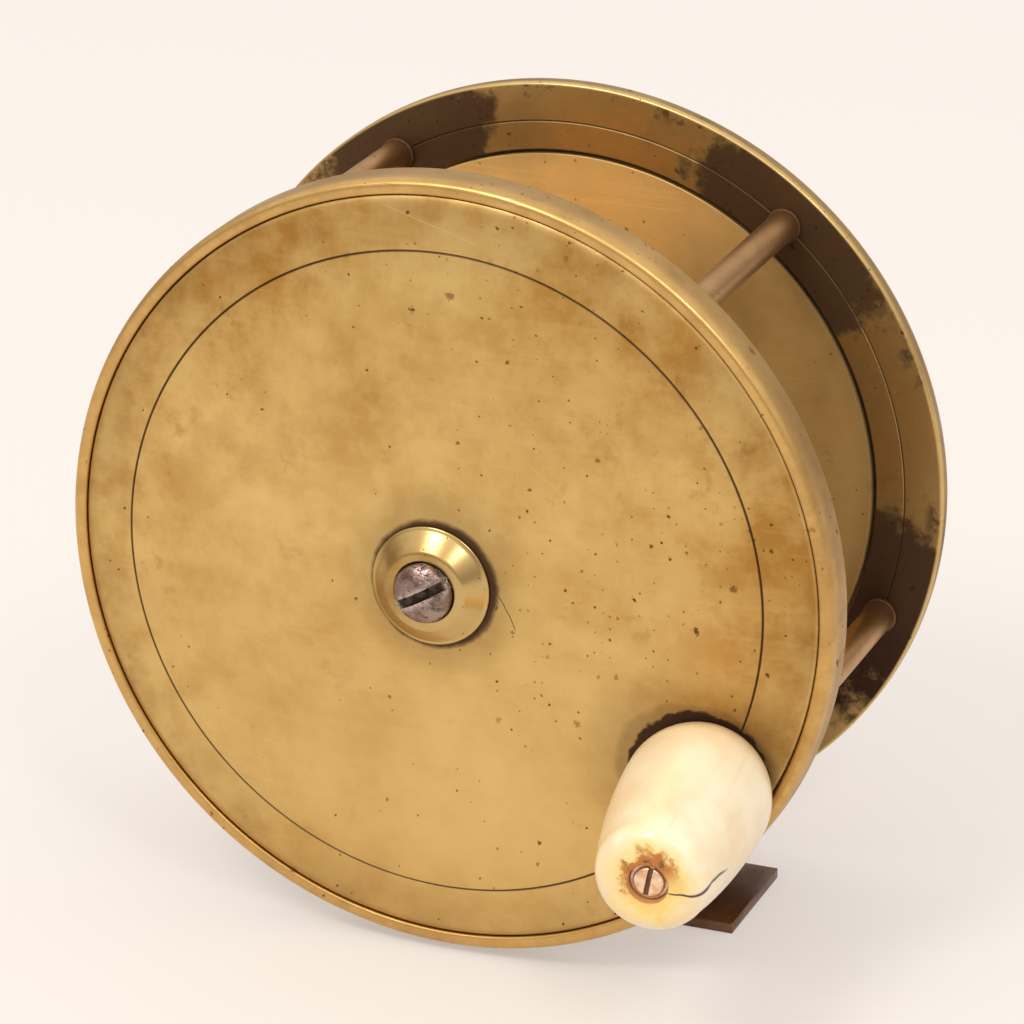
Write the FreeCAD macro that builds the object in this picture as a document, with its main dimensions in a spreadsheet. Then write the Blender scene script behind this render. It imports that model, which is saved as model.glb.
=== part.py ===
# A plate-wind fly reel, modelled as the pieces that come apart on a bench.
# Every turned piece is drawn about the spool axis: y is the depth behind the winding plate's edge
# and the radius is measured from the axis. Each body's Placement then moves that axis to its height
# above the foot, so the model's origin is the middle of the foot's flat seat.
# +Z is up, +X is to the right of the handle side, and the handle side faces -Y.
import FreeCAD, Part
import Sketcher
import math
import os
from types import SimpleNamespace

from FreeCAD import Placement, Rotation, Vector

# ---------------------------------------------------------------------------------------------
# Driving dimensions, in millimetres and degrees
# ---------------------------------------------------------------------------------------------
DIMENSIONS = {
    # frame plates
    "outer_radius": 50.8,
    "rim_width": 1.9,
    "rim_proud": 0.3,
    "rim_round": 1.5,
    "front_plate_depth": 5.1,
    "front_floor": 2.8,
    "plate_spacing": 38.7,
    "back_plate_thickness": 3.0,
    "back_rear_round": 1.2,
    "back_inner_round": 0.4,
    "flange_recess_depth": 1.6,
    "scribe_width": 0.3,
    "scribe_depth": 0.15,
    # pillars and their screws
    "pillar_pitch_radius": 45.7,
    "pillar_radius": 2.0,
    "pillar_shoulder_radius": 2.3,
    "pillar_shoulder_length": 0.7,
    "pillar_rivet_radius": 1.4,
    "pillar_first_angle": -103.0,
    "pillar_step_angle": 71.0,
    "plate_screw_radius": 1.1,
    "plate_screw_head_radius": 2.2,
    "plate_screw_length": 9.0,
    "screw_slot_width": 0.7,
    "screw_slot_depth": 0.6,
    # foot and the bridge that carries it
    "rim_above_seat": 1.0,
    "foot_from_back": 16.6,
    "foot_half_length": 32.3,
    "foot_width": 18.0,
    "foot_toe_thickness": 1.4,
    "foot_middle_thickness": 3.4,
    "foot_middle_half": 12.0,
    "foot_ramp": 9.0,
    "bridge_half_width": 7.0,
    "bridge_top_radius": 43.0,
    "bridge_screw_offset": 4.0,
    "foot_screw_offset": 5.5,
    "foot_screw_radius": 1.4,
    "foot_screw_head_radius": 2.6,
    "foot_screw_length": 7.0,
    # drum
    "flange_radius": 41.4,
    "flange_thickness": 1.3,
    "core_radius": 11.0,
    "core_wall": 1.4,
    "core_register": 1.8,
    "spindle_radius": 3.0,
    "rear_journal_radius": 2.0,
    "ratchet_seat_radius": 1.6,
    "spindle_square": 4.2,
    # bearing bushes
    "bush_wall": 1.5,
    "bush_head_radius": 5.2,
    "bush_head_length": 3.7,
    "rear_bush_head": 1.0,
    # winding plate and its boss
    "dome_height": 3.7,
    "plate_seat_radius": 8.2,
    "winding_plate_thickness": 1.8,
    "scribe_circle_radius": 42.1,
    "boss_base_radius": 7.75,
    "boss_top_radius": 5.0,
    "boss_height": 2.5,
    "boss_recess_radius": 3.95,
    "boss_recess_depth": 1.6,
    "boss_screw_head_radius": 3.8,
    "boss_screw_head_length": 3.3,
    "boss_screw_crown": 0.5,
    "boss_screw_radius": 1.4,
    "boss_screw_length": 9.0,
    "boss_slot_width": 1.2,
    "boss_slot_depth": 1.5,
    "boss_slot_angle": 30.0,
    # handle
    "handle_circle_radius": 41.2,
    "handle_angle": 121.0,
    "handle_tilt": 6.0,
    "grip_base_radius": 8.3,
    "grip_belly_radius": 9.25,
    "grip_belly_at": 4.5,
    "grip_end_radius": 7.1,
    "grip_length": 27.2,
    "grip_end_round": 2.8,
    "grip_base_round": 0.5,
    "handle_pin_radius": 1.9,
    "handle_collar_radius": 4.0,
    "handle_collar_gap": 0.2,
    "handle_collar_length": 0.3,
    "handle_rivet_radius": 1.5,
    "handle_rivet_head_radius": 2.6,
    "handle_rivet_head": 0.6,
    "tip_recess_radius": 2.45,
    "tip_recess_depth": 1.3,
    "tip_washer_radius": 2.3,
    "tip_washer_thickness": 0.3,
    "tip_screw_head_radius": 2.0,
    "tip_screw_head_length": 0.9,
    "tip_screw_radius": 1.0,
    "tip_screw_length": 6.0,
    # check work behind the back plate
    "housing_radius": 20.0,
    "housing_wall": 3.5,
    "housing_depth": 4.8,
    "cover_thickness": 1.4,
    "cover_screw_radius": 0.9,
    "cover_screw_head_radius": 1.7,
    "cover_screw_head": 0.8,
    "cover_screw_length": 3.6,
    "ratchet_radius": 8.4,
    "ratchet_tooth_height": 1.2,
    "ratchet_teeth": 24,
    "ratchet_thickness": 1.8,
    "ratchet_hub_radius": 4.0,
    "ratchet_hub_length": 1.0,
    "ratchet_pin_radius": 0.4,
    "pawl_pivot_x": -9.0,
    "pawl_pivot_z": 9.6,
    "pawl_hub_radius": 2.4,
    "pawl_post_radius": 1.2,
    "pawl_post_head_radius": 2.0,
    "pawl_post_head": 0.6,
    "pawl_thickness": 1.6,
    "pawl_lift": 1.6,
    "spring_thickness": 0.45,
    "spring_screw_x": 11.0,
    "spring_screw_z": 8.0,
    "spring_screw_radius": 0.9,
    "spring_screw_head_radius": 1.7,
    # fits
    "running_fit": 0.05,
    "seat_fit": 0.02,
    "plate_edge_gap": 0.4,
    "flange_edge_gap": 0.5,
    "end_float": 0.2,
    "grip_float": 0.1,
    "tooth_gap": 0.15,
}


# ---------------------------------------------------------------------------------------------
# Sizes that carry both their number and the expression that binds them to the sheet
# ---------------------------------------------------------------------------------------------
class Size:
    def __init__(self, value, text):
        self.value = float(value)
        self.text = text

    def __add__(self, other):
        other = as_size(other)
        return Size(self.value + other.value, f"({self.text} + {other.text})")

    def __radd__(self, other):
        return as_size(other) + self

    def __sub__(self, other):
        other = as_size(other)
        return Size(self.value - other.value, f"({self.text} - {other.text})")

    def __rsub__(self, other):
        return as_size(other) - self

    def __mul__(self, other):
        other = as_size(other)
        return Size(self.value * other.value, f"({self.text} * {other.text})")

    def __rmul__(self, other):
        return as_size(other) * self

    def __truediv__(self, other):
        other = as_size(other)
        return Size(self.value / other.value, f"({self.text} / {other.text})")

    def __neg__(self):
        return as_size(0) - self


def as_size(number):
    if isinstance(number, Size):
        return number
    return Size(number, repr(float(number)))


def root(size):
    return Size(math.sqrt(size.value), f"sqrt({size.text})")


def sine(angle):
    return Size(math.sin(math.radians(angle.value)), f"sin({angle.text} * 1 deg)")


def cosine(angle):
    return Size(math.cos(math.radians(angle.value)), f"cos({angle.text} * 1 deg)")


def polar(radius, angle):
    """Place on a circle about the spool axis, as (x, z), with the angle clockwise from the top."""
    return radius * sine(angle), radius * cosine(angle)


# ---------------------------------------------------------------------------------------------
# Document, spreadsheet and modelling helpers
# ---------------------------------------------------------------------------------------------
doc = FreeCAD.newDocument("fly_reel")
subparts = []


def make_sizes():
    sheet = doc.addObject("Spreadsheet::Sheet", "Sizes")
    sizes = SimpleNamespace()
    for row, (name, value) in enumerate(DIMENSIONS.items(), start=1):
        sheet.set(f"A{row}", name)
        sheet.set(f"B{row}", str(value))
        sheet.setAlias(f"B{row}", name)
        setattr(sizes, name, Size(value, f"Sizes.{name}"))
    doc.recompute()
    return sizes


def bind(target, path, size):
    target.setExpression(path, as_size(size).text)


def on_spool_axis(target, turn=0):
    """Put a piece drawn about the spool axis at the axis's height over the foot's seat."""
    target.Placement = Placement(Vector(0, -foot_y.value, axis_height.value),
                                 Rotation(Vector(0, 1, 0), as_size(turn).value))
    bind(target, "Placement.Base.y", -foot_y)
    bind(target, "Placement.Base.z", axis_height)


def new_body(label):
    body = doc.addObject("PartDesign::Body", label)
    body.Label = label
    on_spool_axis(body)
    subparts.append(body)
    return body


def origin_feature(body, role):
    for feature in body.Origin.OriginFeatures:
        if feature.Role == role:
            return feature
    raise LookupError(role)


def new_sketch(body, name, plane, offset=None):
    sketch = body.newObject("Sketcher::SketchObject", name)
    sketch.AttachmentSupport = [(origin_feature(body, plane), "")]
    sketch.MapMode = "FlatFace"
    if offset is not None:
        sketch.AttachmentOffset = Placement(Vector(0, 0, offset.value), Rotation())
        bind(sketch, "AttachmentOffset.Base.z", offset)
    return sketch


def pin_point(sketch, geometry, corner, x, y):
    """Hold one point of a sketch at (x, y) from the sketch's origin."""
    for axis, size, kind in ((-2, as_size(x), "DistanceX"), (-1, as_size(y), "DistanceY")):
        if size.value == 0:
            sketch.addConstraint(Sketcher.Constraint("PointOnObject", geometry, corner, axis))
            continue
        index = sketch.addConstraint(Sketcher.Constraint(kind, -1, 1, geometry, corner, size.value))
        bind(sketch, f"Constraints[{index}]", size)


def arc_between(start, end, radius):
    """Arc from start to end; a positive radius keeps the centre to the left of the travel."""
    chord = end - start
    side = Vector(-chord.y, chord.x, 0).normalize()
    height = math.sqrt(max(radius * radius - chord.Length * chord.Length / 4, 0))
    centre = (start + end) / 2 + side * math.copysign(height, radius)
    circle = Part.Circle(centre, Vector(0, 0, 1), abs(radius))
    first, last = (start, end) if radius > 0 else (end, start)
    return Part.ArcOfCircle(circle, circle.parameter(first), circle.parameter(last))


def draw_outline(sketch, points):
    """Closed outline; each point is (x, y), or (x, y, radius) where an arc ends."""
    places = [Vector(as_size(p[0]).value, as_size(p[1]).value, 0) for p in points]
    corners = []
    for index, point in enumerate(points):
        start, end = places[index - 1], places[index]
        if len(point) == 2:
            corners.append((sketch.addGeometry(Part.LineSegment(start, end), False), 1, 2))
            continue
        radius = as_size(point[2])
        geometry = sketch.addGeometry(arc_between(start, end, radius.value), False)
        ends = (1, 2) if radius.value > 0 else (2, 1)
        corners.append((geometry, *ends))
        index_radius = sketch.addConstraint(Sketcher.Constraint("Radius", geometry, abs(radius.value)))
        bind(sketch, f"Constraints[{index_radius}]", radius if radius.value > 0 else -radius)
    for index, (geometry, first, last) in enumerate(corners):
        previous = corners[index - 1]
        sketch.addConstraint(Sketcher.Constraint("Coincident", previous[0], previous[2], geometry, first))
        pin_point(sketch, geometry, last, points[index][0], points[index][1])


def draw_circle(sketch, x, y, radius):
    x, y = as_size(x), as_size(y)
    circle = Part.Circle(Vector(x.value, y.value, 0), Vector(0, 0, 1), radius.value)
    geometry = sketch.addGeometry(circle, False)
    index = sketch.addConstraint(Sketcher.Constraint("Radius", geometry, radius.value))
    bind(sketch, f"Constraints[{index}]", radius)
    if x.value == 0 and y.value == 0:
        sketch.addConstraint(Sketcher.Constraint("Coincident", geometry, 3, -1, 1))
    else:
        pin_point(sketch, geometry, 3, x, y)


def rectangle(x_low, x_high, y_low, y_high):
    return [(x_low, y_low), (x_high, y_low), (x_high, y_high), (x_low, y_high)]


def turn(body, points, name="turned"):
    """Revolve a (y, radius) outline about the spool axis."""
    sketch = new_sketch(body, f"{name}_profile", "YZ_Plane")
    draw_outline(sketch, points)
    feature = body.newObject("PartDesign::Revolution", name)
    feature.Profile = sketch
    feature.ReferenceAxis = (sketch, ["H_Axis"])
    feature.Angle = 360
    return feature


def pad(body, sketch, length, name="pad", away=False):
    """Thicken a sketch; away=True goes toward +Y from an XZ sketch."""
    feature = body.newObject("PartDesign::Pad", name)
    feature.Profile = sketch
    feature.Length = as_size(length).value
    bind(feature, "Length", length)
    feature.Reversed = away
    return feature


def cut(body, sketch, length, name="cut", away=False):
    """Cut a sketch through the body; away=True cuts toward +Y from an XZ sketch."""
    doc.recompute()
    before = body.Shape.Volume
    feature = body.newObject("PartDesign::Pocket", name)
    feature.Profile = sketch
    feature.Length = as_size(length).value
    bind(feature, "Length", length)
    feature.Reversed = not away
    doc.recompute()
    if body.Shape.Volume >= before - 1e-6:
        raise RuntimeError(f"{body.Label}: {name} removes nothing")
    return feature


def at_depth(body, name, depth):
    """Sketch square to the spool axis at the given depth behind the winding plate's edge."""
    return new_sketch(body, name, "XZ_Plane", -as_size(depth))


def pad_at(body, name, depth, length, draw):
    sketch = at_depth(body, f"{name}_sketch", depth)
    draw(sketch)
    return pad(body, sketch, length, name, away=True)


def cut_at(body, name, depth, length, draw):
    sketch = at_depth(body, f"{name}_sketch", depth)
    draw(sketch)
    return cut(body, sketch, length, name, away=True)


def slot_cut(body, face_depth, slot_depth, width, reach, name="slot"):
    """Straight driver slot across a screw head whose top faces -Y."""
    def draw(sketch):
        draw_outline(sketch, rectangle(-reach, reach, -width / 2, width / 2))
    return cut_at(body, name, face_depth, slot_depth, draw)


def group(label, body, places):
    """One sub-part holding several identical pieces, each a solid of its own."""
    subparts.remove(body)
    body.Label = f"{label}_pattern"
    copies = []
    for number, place in enumerate(places, start=1):
        copy = doc.addObject("Part::Feature", f"{label}_{number}")
        copies.append((copy, place))
    bundle = doc.addObject("Part::Compound", label)
    bundle.Label = label
    bundle.Links = [copy for copy, place in copies]
    subparts.append(bundle)
    doc.recompute()
    for copy, place in copies:
        copy.Shape = body.Shape.copy()
        copy.Placement = place
    return bundle


def spool_place(x, z, turn_angle=0, y=0):
    """Placement of a piece drawn about its own axis, moved to (x, z) from the spool axis."""
    move = Vector(as_size(x).value, as_size(y).value - foot_y.value, as_size(z).value + axis_height.value)
    return Placement(move, Rotation(Vector(0, 1, 0), turn_angle))


sizes = make_sizes()
foot_y = sizes.front_plate_depth + sizes.plate_spacing - sizes.foot_from_back
axis_height = sizes.outer_radius + sizes.rim_above_seat

# Depths along the spool axis that several pieces share
gap_radius = sizes.outer_radius - sizes.rim_width
front_inner = sizes.front_plate_depth
front_floor_face = front_inner - sizes.front_floor
front_recess_face = front_inner - sizes.flange_recess_depth
back_inner = front_inner + sizes.plate_spacing
back_recess_face = back_inner + sizes.flange_recess_depth
back_outer = back_inner + sizes.back_plate_thickness
flange_recess_radius = sizes.flange_radius + sizes.flange_edge_gap
housing_end = back_outer + sizes.housing_depth
seat_front = -sizes.dome_height
seat_rear = seat_front + sizes.winding_plate_thickness
plate_edge_radius = gap_radius - sizes.plate_edge_gap
front_bush_radius = sizes.spindle_radius + sizes.bush_wall
rear_bush_radius = sizes.rear_journal_radius + sizes.bush_wall
pillar_angles = [sizes.pillar_first_angle + sizes.pillar_step_angle * k for k in range(4)]
bridge_holes = [(sizes.bridge_screw_offset * side, -sizes.pillar_pitch_radius) for side in (-1, 1)]
pillar_holes = [polar(sizes.pillar_pitch_radius, angle) for angle in pillar_angles]


# ---------------------------------------------------------------------------------------------
# Frame: two plates, pillars, bridge and foot
# ---------------------------------------------------------------------------------------------
def make_front_plate():
    """Dished plate: a raised rounded rim round the winding plate, a recess behind for the flange."""
    body = new_body("front_plate")
    crest = -sizes.rim_proud
    turn(body, [
        (front_recess_face, front_bush_radius),
        (front_recess_face, flange_recess_radius),
        (front_inner, flange_recess_radius),
        (front_inner, sizes.outer_radius),
        (crest + sizes.rim_round, sizes.outer_radius),
        (crest, sizes.outer_radius - sizes.rim_round, sizes.rim_round),
        (crest, gap_radius),
        (front_floor_face, gap_radius),
        (front_floor_face, front_bush_radius),
    ])

    def draw(sketch):
        for x, z in pillar_holes + bridge_holes:
            draw_circle(sketch, x, z, sizes.pillar_rivet_radius + sizes.seat_fit)
    cut_at(body, "rivet_holes", front_floor_face - 1, sizes.front_floor + 2, draw)


def countersunk_holes(body, places, shank, head, top, depth, name):
    """Through holes with a 90 degree countersink in the back plate's outer face."""
    cone_depth = head - shank

    def draw_shank(sketch):
        for x, z in places:
            draw_circle(sketch, x, z, shank)
    cut_at(body, f"{name}_shanks", top - depth - 1, depth + 2, draw_shank)

    for number, (x, z) in enumerate(places, start=1):
        doc.recompute()
        wide = at_depth(body, f"{name}_{number}_wide", top)
        draw_circle(wide, x, z, head)
        narrow = at_depth(body, f"{name}_{number}_narrow", top - cone_depth)
        draw_circle(narrow, x, z, shank)
        cone = body.newObject("PartDesign::SubtractiveLoft", f"{name}_{number}_sink")
        cone.Profile = wide
        cone.Sections = [narrow]


def make_back_plate():
    """Plain plate with a recess for the drum's rear flange and a scribed pillar circle."""
    body = new_body("back_plate")
    half_scribe = sizes.scribe_width / 2
    turn(body, [
        (back_recess_face, rear_bush_radius),
        (back_recess_face, flange_recess_radius),
        (back_inner, flange_recess_radius),
        (back_inner, sizes.pillar_pitch_radius - half_scribe),
        (back_inner + sizes.scribe_depth, sizes.pillar_pitch_radius),
        (back_inner, sizes.pillar_pitch_radius + half_scribe),
        (back_inner, sizes.outer_radius - sizes.back_inner_round),
        (back_inner + sizes.back_inner_round, sizes.outer_radius, -sizes.back_inner_round),
        (back_outer - sizes.back_rear_round, sizes.outer_radius),
        (back_outer, sizes.outer_radius - sizes.back_rear_round, -sizes.back_rear_round),
        (back_outer, rear_bush_radius),
    ])
    shank = sizes.plate_screw_radius + sizes.seat_fit
    head = sizes.plate_screw_head_radius + sizes.seat_fit
    places = pillar_holes + bridge_holes
    countersunk_holes(body, places, shank, head, back_outer, sizes.back_plate_thickness, "screw")

    def draw(sketch):
        draw_circle(sketch, sizes.pawl_pivot_x, sizes.pawl_pivot_z, sizes.pawl_post_radius + sizes.seat_fit)
        draw_circle(sketch, sizes.spring_screw_x, sizes.spring_screw_z,
                    sizes.spring_screw_radius + sizes.seat_fit)
    cut_at(body, "check_holes", back_recess_face - 1, sizes.back_plate_thickness + 1, draw)


def make_pillar(number, angle):
    """Turned pillar: riveted through the front plate, tapped for a screw at the back."""
    body = new_body(f"pillar_{number}")
    bore = sizes.plate_screw_radius + sizes.seat_fit
    bore_end = back_inner - sizes.plate_screw_length
    turn(body, [
        (front_floor_face, 0),
        (front_floor_face, sizes.pillar_rivet_radius),
        (front_inner, sizes.pillar_rivet_radius),
        (front_inner, sizes.pillar_radius),
        (back_inner - sizes.pillar_shoulder_length, sizes.pillar_radius),
        (back_inner - sizes.pillar_shoulder_length, sizes.pillar_shoulder_radius),
        (back_inner, sizes.pillar_shoulder_radius),
        (back_inner, bore),
        (bore_end, bore),
        (bore_end, 0),
    ])
    x, z = polar(sizes.pillar_pitch_radius, angle)
    bind(body, "Placement.Base.x", x)
    bind(body, "Placement.Base.z", axis_height + z)


def make_countersunk_screw(label, top, length, shank, head):
    """Slotted countersunk screw along the spool axis, its head's flat top facing +Y at depth top."""
    body = new_body(label)
    cone = head - shank
    turn(body, [
        (top - length, 0),
        (top - length, shank),
        (top - cone, shank),
        (top, head),
        (top, 0),
    ])
    sketch = at_depth(body, "slot_sketch", top)
    draw_outline(sketch, rectangle(-head - 1, head + 1, -sizes.screw_slot_width / 2,
                                   sizes.screw_slot_width / 2))
    cut(body, sketch, sizes.screw_slot_depth, "slot")
    return body


def make_plate_screws():
    length = sizes.back_plate_thickness + sizes.plate_screw_length - 1
    screw = make_countersunk_screw("pillar_screw", back_outer, length, sizes.plate_screw_radius,
                                   sizes.plate_screw_head_radius)
    places = []
    for number, (x, z) in enumerate(pillar_holes):
        places.append(spool_place(x, z, 25 + 40 * number))
    group("pillar_screws", screw, places)
    screw = make_countersunk_screw("bridge_screw", back_outer, length, sizes.plate_screw_radius,
                                   sizes.plate_screw_head_radius)
    group("bridge_screws", screw, [spool_place(x, z, 70) for x, z in bridge_holes])


def make_foot_bridge():
    """Bar between the plates: two rivets at the front, tapped for screws at the back and below."""
    body = new_body("foot_bridge")
    low = sizes.foot_middle_thickness - axis_height
    high = -sizes.bridge_top_radius
    half = sizes.bridge_half_width
    pad_at(body, "bar", front_inner, sizes.plate_spacing,
           lambda sketch: draw_outline(sketch, rectangle(-half, half, low, high)))

    def draw_rivets(sketch):
        for x, z in bridge_holes:
            draw_circle(sketch, x, z, sizes.pillar_rivet_radius)
    pad_at(body, "rivets", front_floor_face, sizes.front_floor + 1, draw_rivets)

    def draw_tapped(sketch):
        for x, z in bridge_holes:
            draw_circle(sketch, x, z, sizes.plate_screw_radius + sizes.seat_fit)
    bore = sizes.plate_screw_length
    cut_at(body, "rear_taps", back_inner - bore, bore + 1, draw_tapped)

    sketch = new_sketch(body, "foot_tap_sketch", "XY_Plane", low - 1)
    for x, y in foot_screw_places():
        draw_circle(sketch, x, y, sizes.foot_screw_radius + sizes.seat_fit)
    cut(body, sketch, sizes.foot_screw_length - sizes.foot_middle_thickness + 2, "foot_taps")


def foot_screw_places():
    places = []
    for side in (-1, 1):
        for end in (-1, 1):
            places.append((sizes.bridge_screw_offset * side, foot_y + sizes.foot_screw_offset * end))
    return places


def make_foot_plate():
    """Flat-bottomed foot, thick under the bridge and filed thin at its square-cut toes."""
    body = new_body("foot_plate")
    seat = -axis_height
    toe = seat + sizes.foot_toe_thickness
    middle = seat + sizes.foot_middle_thickness
    end = sizes.foot_half_length
    flat = sizes.foot_middle_half
    ramp = flat + sizes.foot_ramp
    rise = sizes.foot_middle_thickness - sizes.foot_toe_thickness
    sweep = (sizes.foot_ramp * sizes.foot_ramp + rise * rise) / (2 * rise)

    def draw(sketch):
        draw_outline(sketch, [
            (-end, seat), (end, seat), (end, toe), (ramp, toe),
            (flat, middle, -sweep), (-flat, middle), (-ramp, toe, -sweep), (-end, toe),
        ])
    pad_at(body, "foot", foot_y - sizes.foot_width / 2, sizes.foot_width, draw)
    shank = sizes.foot_screw_radius + sizes.seat_fit
    head = sizes.foot_screw_head_radius + sizes.seat_fit
    sketch = new_sketch(body, "shank_sketch", "XY_Plane", seat - 1)
    for x, y in foot_screw_places():
        draw_circle(sketch, x, y, shank)
    cut(body, sketch, sizes.foot_middle_thickness + 2, "shanks")
    for number, (x, y) in enumerate(foot_screw_places(), start=1):
        wide = new_sketch(body, f"sink_{number}_wide", "XY_Plane", seat)
        draw_circle(wide, x, y, head)
        narrow = new_sketch(body, f"sink_{number}_narrow", "XY_Plane", seat + head - shank)
        draw_circle(narrow, x, y, shank)
        cone = body.newObject("PartDesign::SubtractiveLoft", f"sink_{number}")
        cone.Profile = wide
        cone.Sections = [narrow]


def make_foot_screws():
    """Four countersunk screws, drawn along the spool axis and then stood upright in the foot."""
    screw = make_countersunk_screw("foot_screw", as_size(0), sizes.foot_screw_length,
                                   sizes.foot_screw_radius, sizes.foot_screw_head_radius)
    places = []
    for number, (x, y) in enumerate(foot_screw_places()):
        stand = Rotation(Vector(1, 0, 0), -90) * Rotation(Vector(0, 1, 0), 20 + 55 * number)
        places.append(Placement(Vector(x.value, y.value - foot_y.value, 0), stand))
    group("foot_screws", screw, places)


# ---------------------------------------------------------------------------------------------
# Bearings and drum
# ---------------------------------------------------------------------------------------------
def make_bushes():
    """Bearing bushes, each with a spigot in its plate and a head on the plate's outer side."""
    bore = sizes.spindle_radius + sizes.running_fit
    turn(new_body("front_bush"), [
        (front_floor_face - sizes.bush_head_length, bore),
        (front_recess_face, bore),
        (front_recess_face, front_bush_radius - sizes.seat_fit),
        (front_floor_face, front_bush_radius - sizes.seat_fit),
        (front_floor_face, sizes.bush_head_radius),
        (front_floor_face - sizes.bush_head_length, sizes.bush_head_radius),
    ])
    bore = sizes.rear_journal_radius + sizes.running_fit
    turn(new_body("rear_bush"), [
        (back_recess_face, bore),
        (back_outer + sizes.rear_bush_head, bore),
        (back_outer + sizes.rear_bush_head, sizes.bush_head_radius),
        (back_outer, sizes.bush_head_radius),
        (back_outer, rear_bush_radius - sizes.seat_fit),
        (back_recess_face, rear_bush_radius - sizes.seat_fit),
    ])


ratchet_front = back_outer + sizes.rear_bush_head + sizes.end_float
ratchet_rear = ratchet_front + sizes.ratchet_thickness
hub_rear = ratchet_rear + sizes.ratchet_hub_length
pin_depth = ratchet_rear + sizes.ratchet_hub_length / 2


def make_spindle():
    """Steel spindle: squared nose for the winding plate, two journals, a seat for the ratchet."""
    body = new_body("drum_spindle")
    shoulder = back_recess_face - sizes.end_float
    turn(body, [
        (seat_rear, 0),
        (seat_rear, sizes.spindle_radius),
        (shoulder, sizes.spindle_radius),
        (shoulder, sizes.rear_journal_radius),
        (ratchet_front, sizes.rear_journal_radius),
        (ratchet_front, sizes.ratchet_seat_radius),
        (hub_rear, sizes.ratchet_seat_radius),
        (hub_rear, 0),
    ])
    half = sizes.spindle_square / 2
    nose = sizes.winding_plate_thickness - 0.1
    pad_at(body, "square", seat_rear - nose, nose,
           lambda sketch: draw_outline(sketch, rectangle(-half, half, -half, half)))
    tapped = sizes.boss_screw_radius + sizes.seat_fit
    cut_at(body, "tapped_hole", seat_front - 1, sizes.boss_screw_length + 1.5,
           lambda sketch: draw_circle(sketch, 0, 0, tapped))
    sketch = new_sketch(body, "pin_hole_sketch", "XY_Plane", -sizes.ratchet_seat_radius - 1)
    draw_circle(sketch, 0, pin_depth, sizes.ratchet_pin_radius + sizes.seat_fit)
    cut(body, sketch, 2 * sizes.ratchet_seat_radius + 2, "pin_hole")


def make_drum():
    """Line drum: a tube between two flanges that register in its ends."""
    inner = sizes.core_radius - sizes.core_wall
    turn(new_body("drum_core"), [
        (front_inner, inner), (back_inner, inner),
        (back_inner, sizes.core_radius), (front_inner, sizes.core_radius),
    ])
    bore = sizes.spindle_radius + sizes.seat_fit
    register = inner - sizes.seat_fit
    turn(new_body("drum_front_flange"), [
        (front_inner - sizes.flange_thickness, bore),
        (front_inner + sizes.core_register, bore),
        (front_inner + sizes.core_register, register),
        (front_inner, register),
        (front_inner, sizes.flange_radius),
        (front_inner - sizes.flange_thickness, sizes.flange_radius),
    ])
    turn(new_body("drum_rear_flange"), [
        (back_inner + sizes.flange_thickness, bore),
        (back_inner - sizes.core_register, bore),
        (back_inner - sizes.core_register, register),
        (back_inner, register),
        (back_inner, sizes.flange_radius),
        (back_inner + sizes.flange_thickness, sizes.flange_radius),
    ])


# ---------------------------------------------------------------------------------------------
# Winding plate, boss and handle
# ---------------------------------------------------------------------------------------------
def dome_radius():
    """Radius of the dished face, from the flat seat at its middle out to its edge at depth 0."""
    run = plate_edge_radius - sizes.plate_seat_radius
    # The face leaves the flat seat tangent to it, so the sagitta formula gives its radius.
    return (run * run + sizes.dome_height * sizes.dome_height) / (2 * sizes.dome_height)


def dome_depth(radius):
    """Depth of the dished face at a distance from the axis."""
    bend = dome_radius()
    run = radius - sizes.plate_seat_radius
    return bend - sizes.dome_height - root(bend * bend - run * run)


handle_x, handle_z = polar(sizes.handle_circle_radius, sizes.handle_angle)
handle_face = dome_depth(sizes.handle_circle_radius)


def make_winding_plate():
    """Dished disc that carries the handle and turns flush inside the front rim."""
    body = new_body("winding_plate")
    thick = sizes.winding_plate_thickness
    half_scribe = sizes.scribe_width / 2
    inner_scribe = sizes.scribe_circle_radius - half_scribe
    outer_scribe = sizes.scribe_circle_radius + half_scribe
    bend = dome_radius()
    turn(body, [
        (seat_front, 0),
        (seat_rear, 0),
        (seat_rear, sizes.plate_seat_radius),
        (thick, plate_edge_radius, -bend),
        (0, plate_edge_radius),
        (dome_depth(outer_scribe), outer_scribe, bend),
        (dome_depth(sizes.scribe_circle_radius) + sizes.scribe_depth, sizes.scribe_circle_radius),
        (dome_depth(inner_scribe), inner_scribe),
        (seat_front, sizes.plate_seat_radius, bend),
    ])
    half = sizes.spindle_square / 2 + sizes.seat_fit
    reach = thick + 4
    cut_at(body, "square_hole", seat_front - 1, reach,
           lambda sketch: draw_outline(sketch, rectangle(-half, half, -half, half)))
    hole = sizes.handle_rivet_radius + 0.3
    cut_at(body, "handle_hole", handle_face - 2, thick + 4,
           lambda sketch: draw_circle(sketch, handle_x, handle_z, hole))


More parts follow.
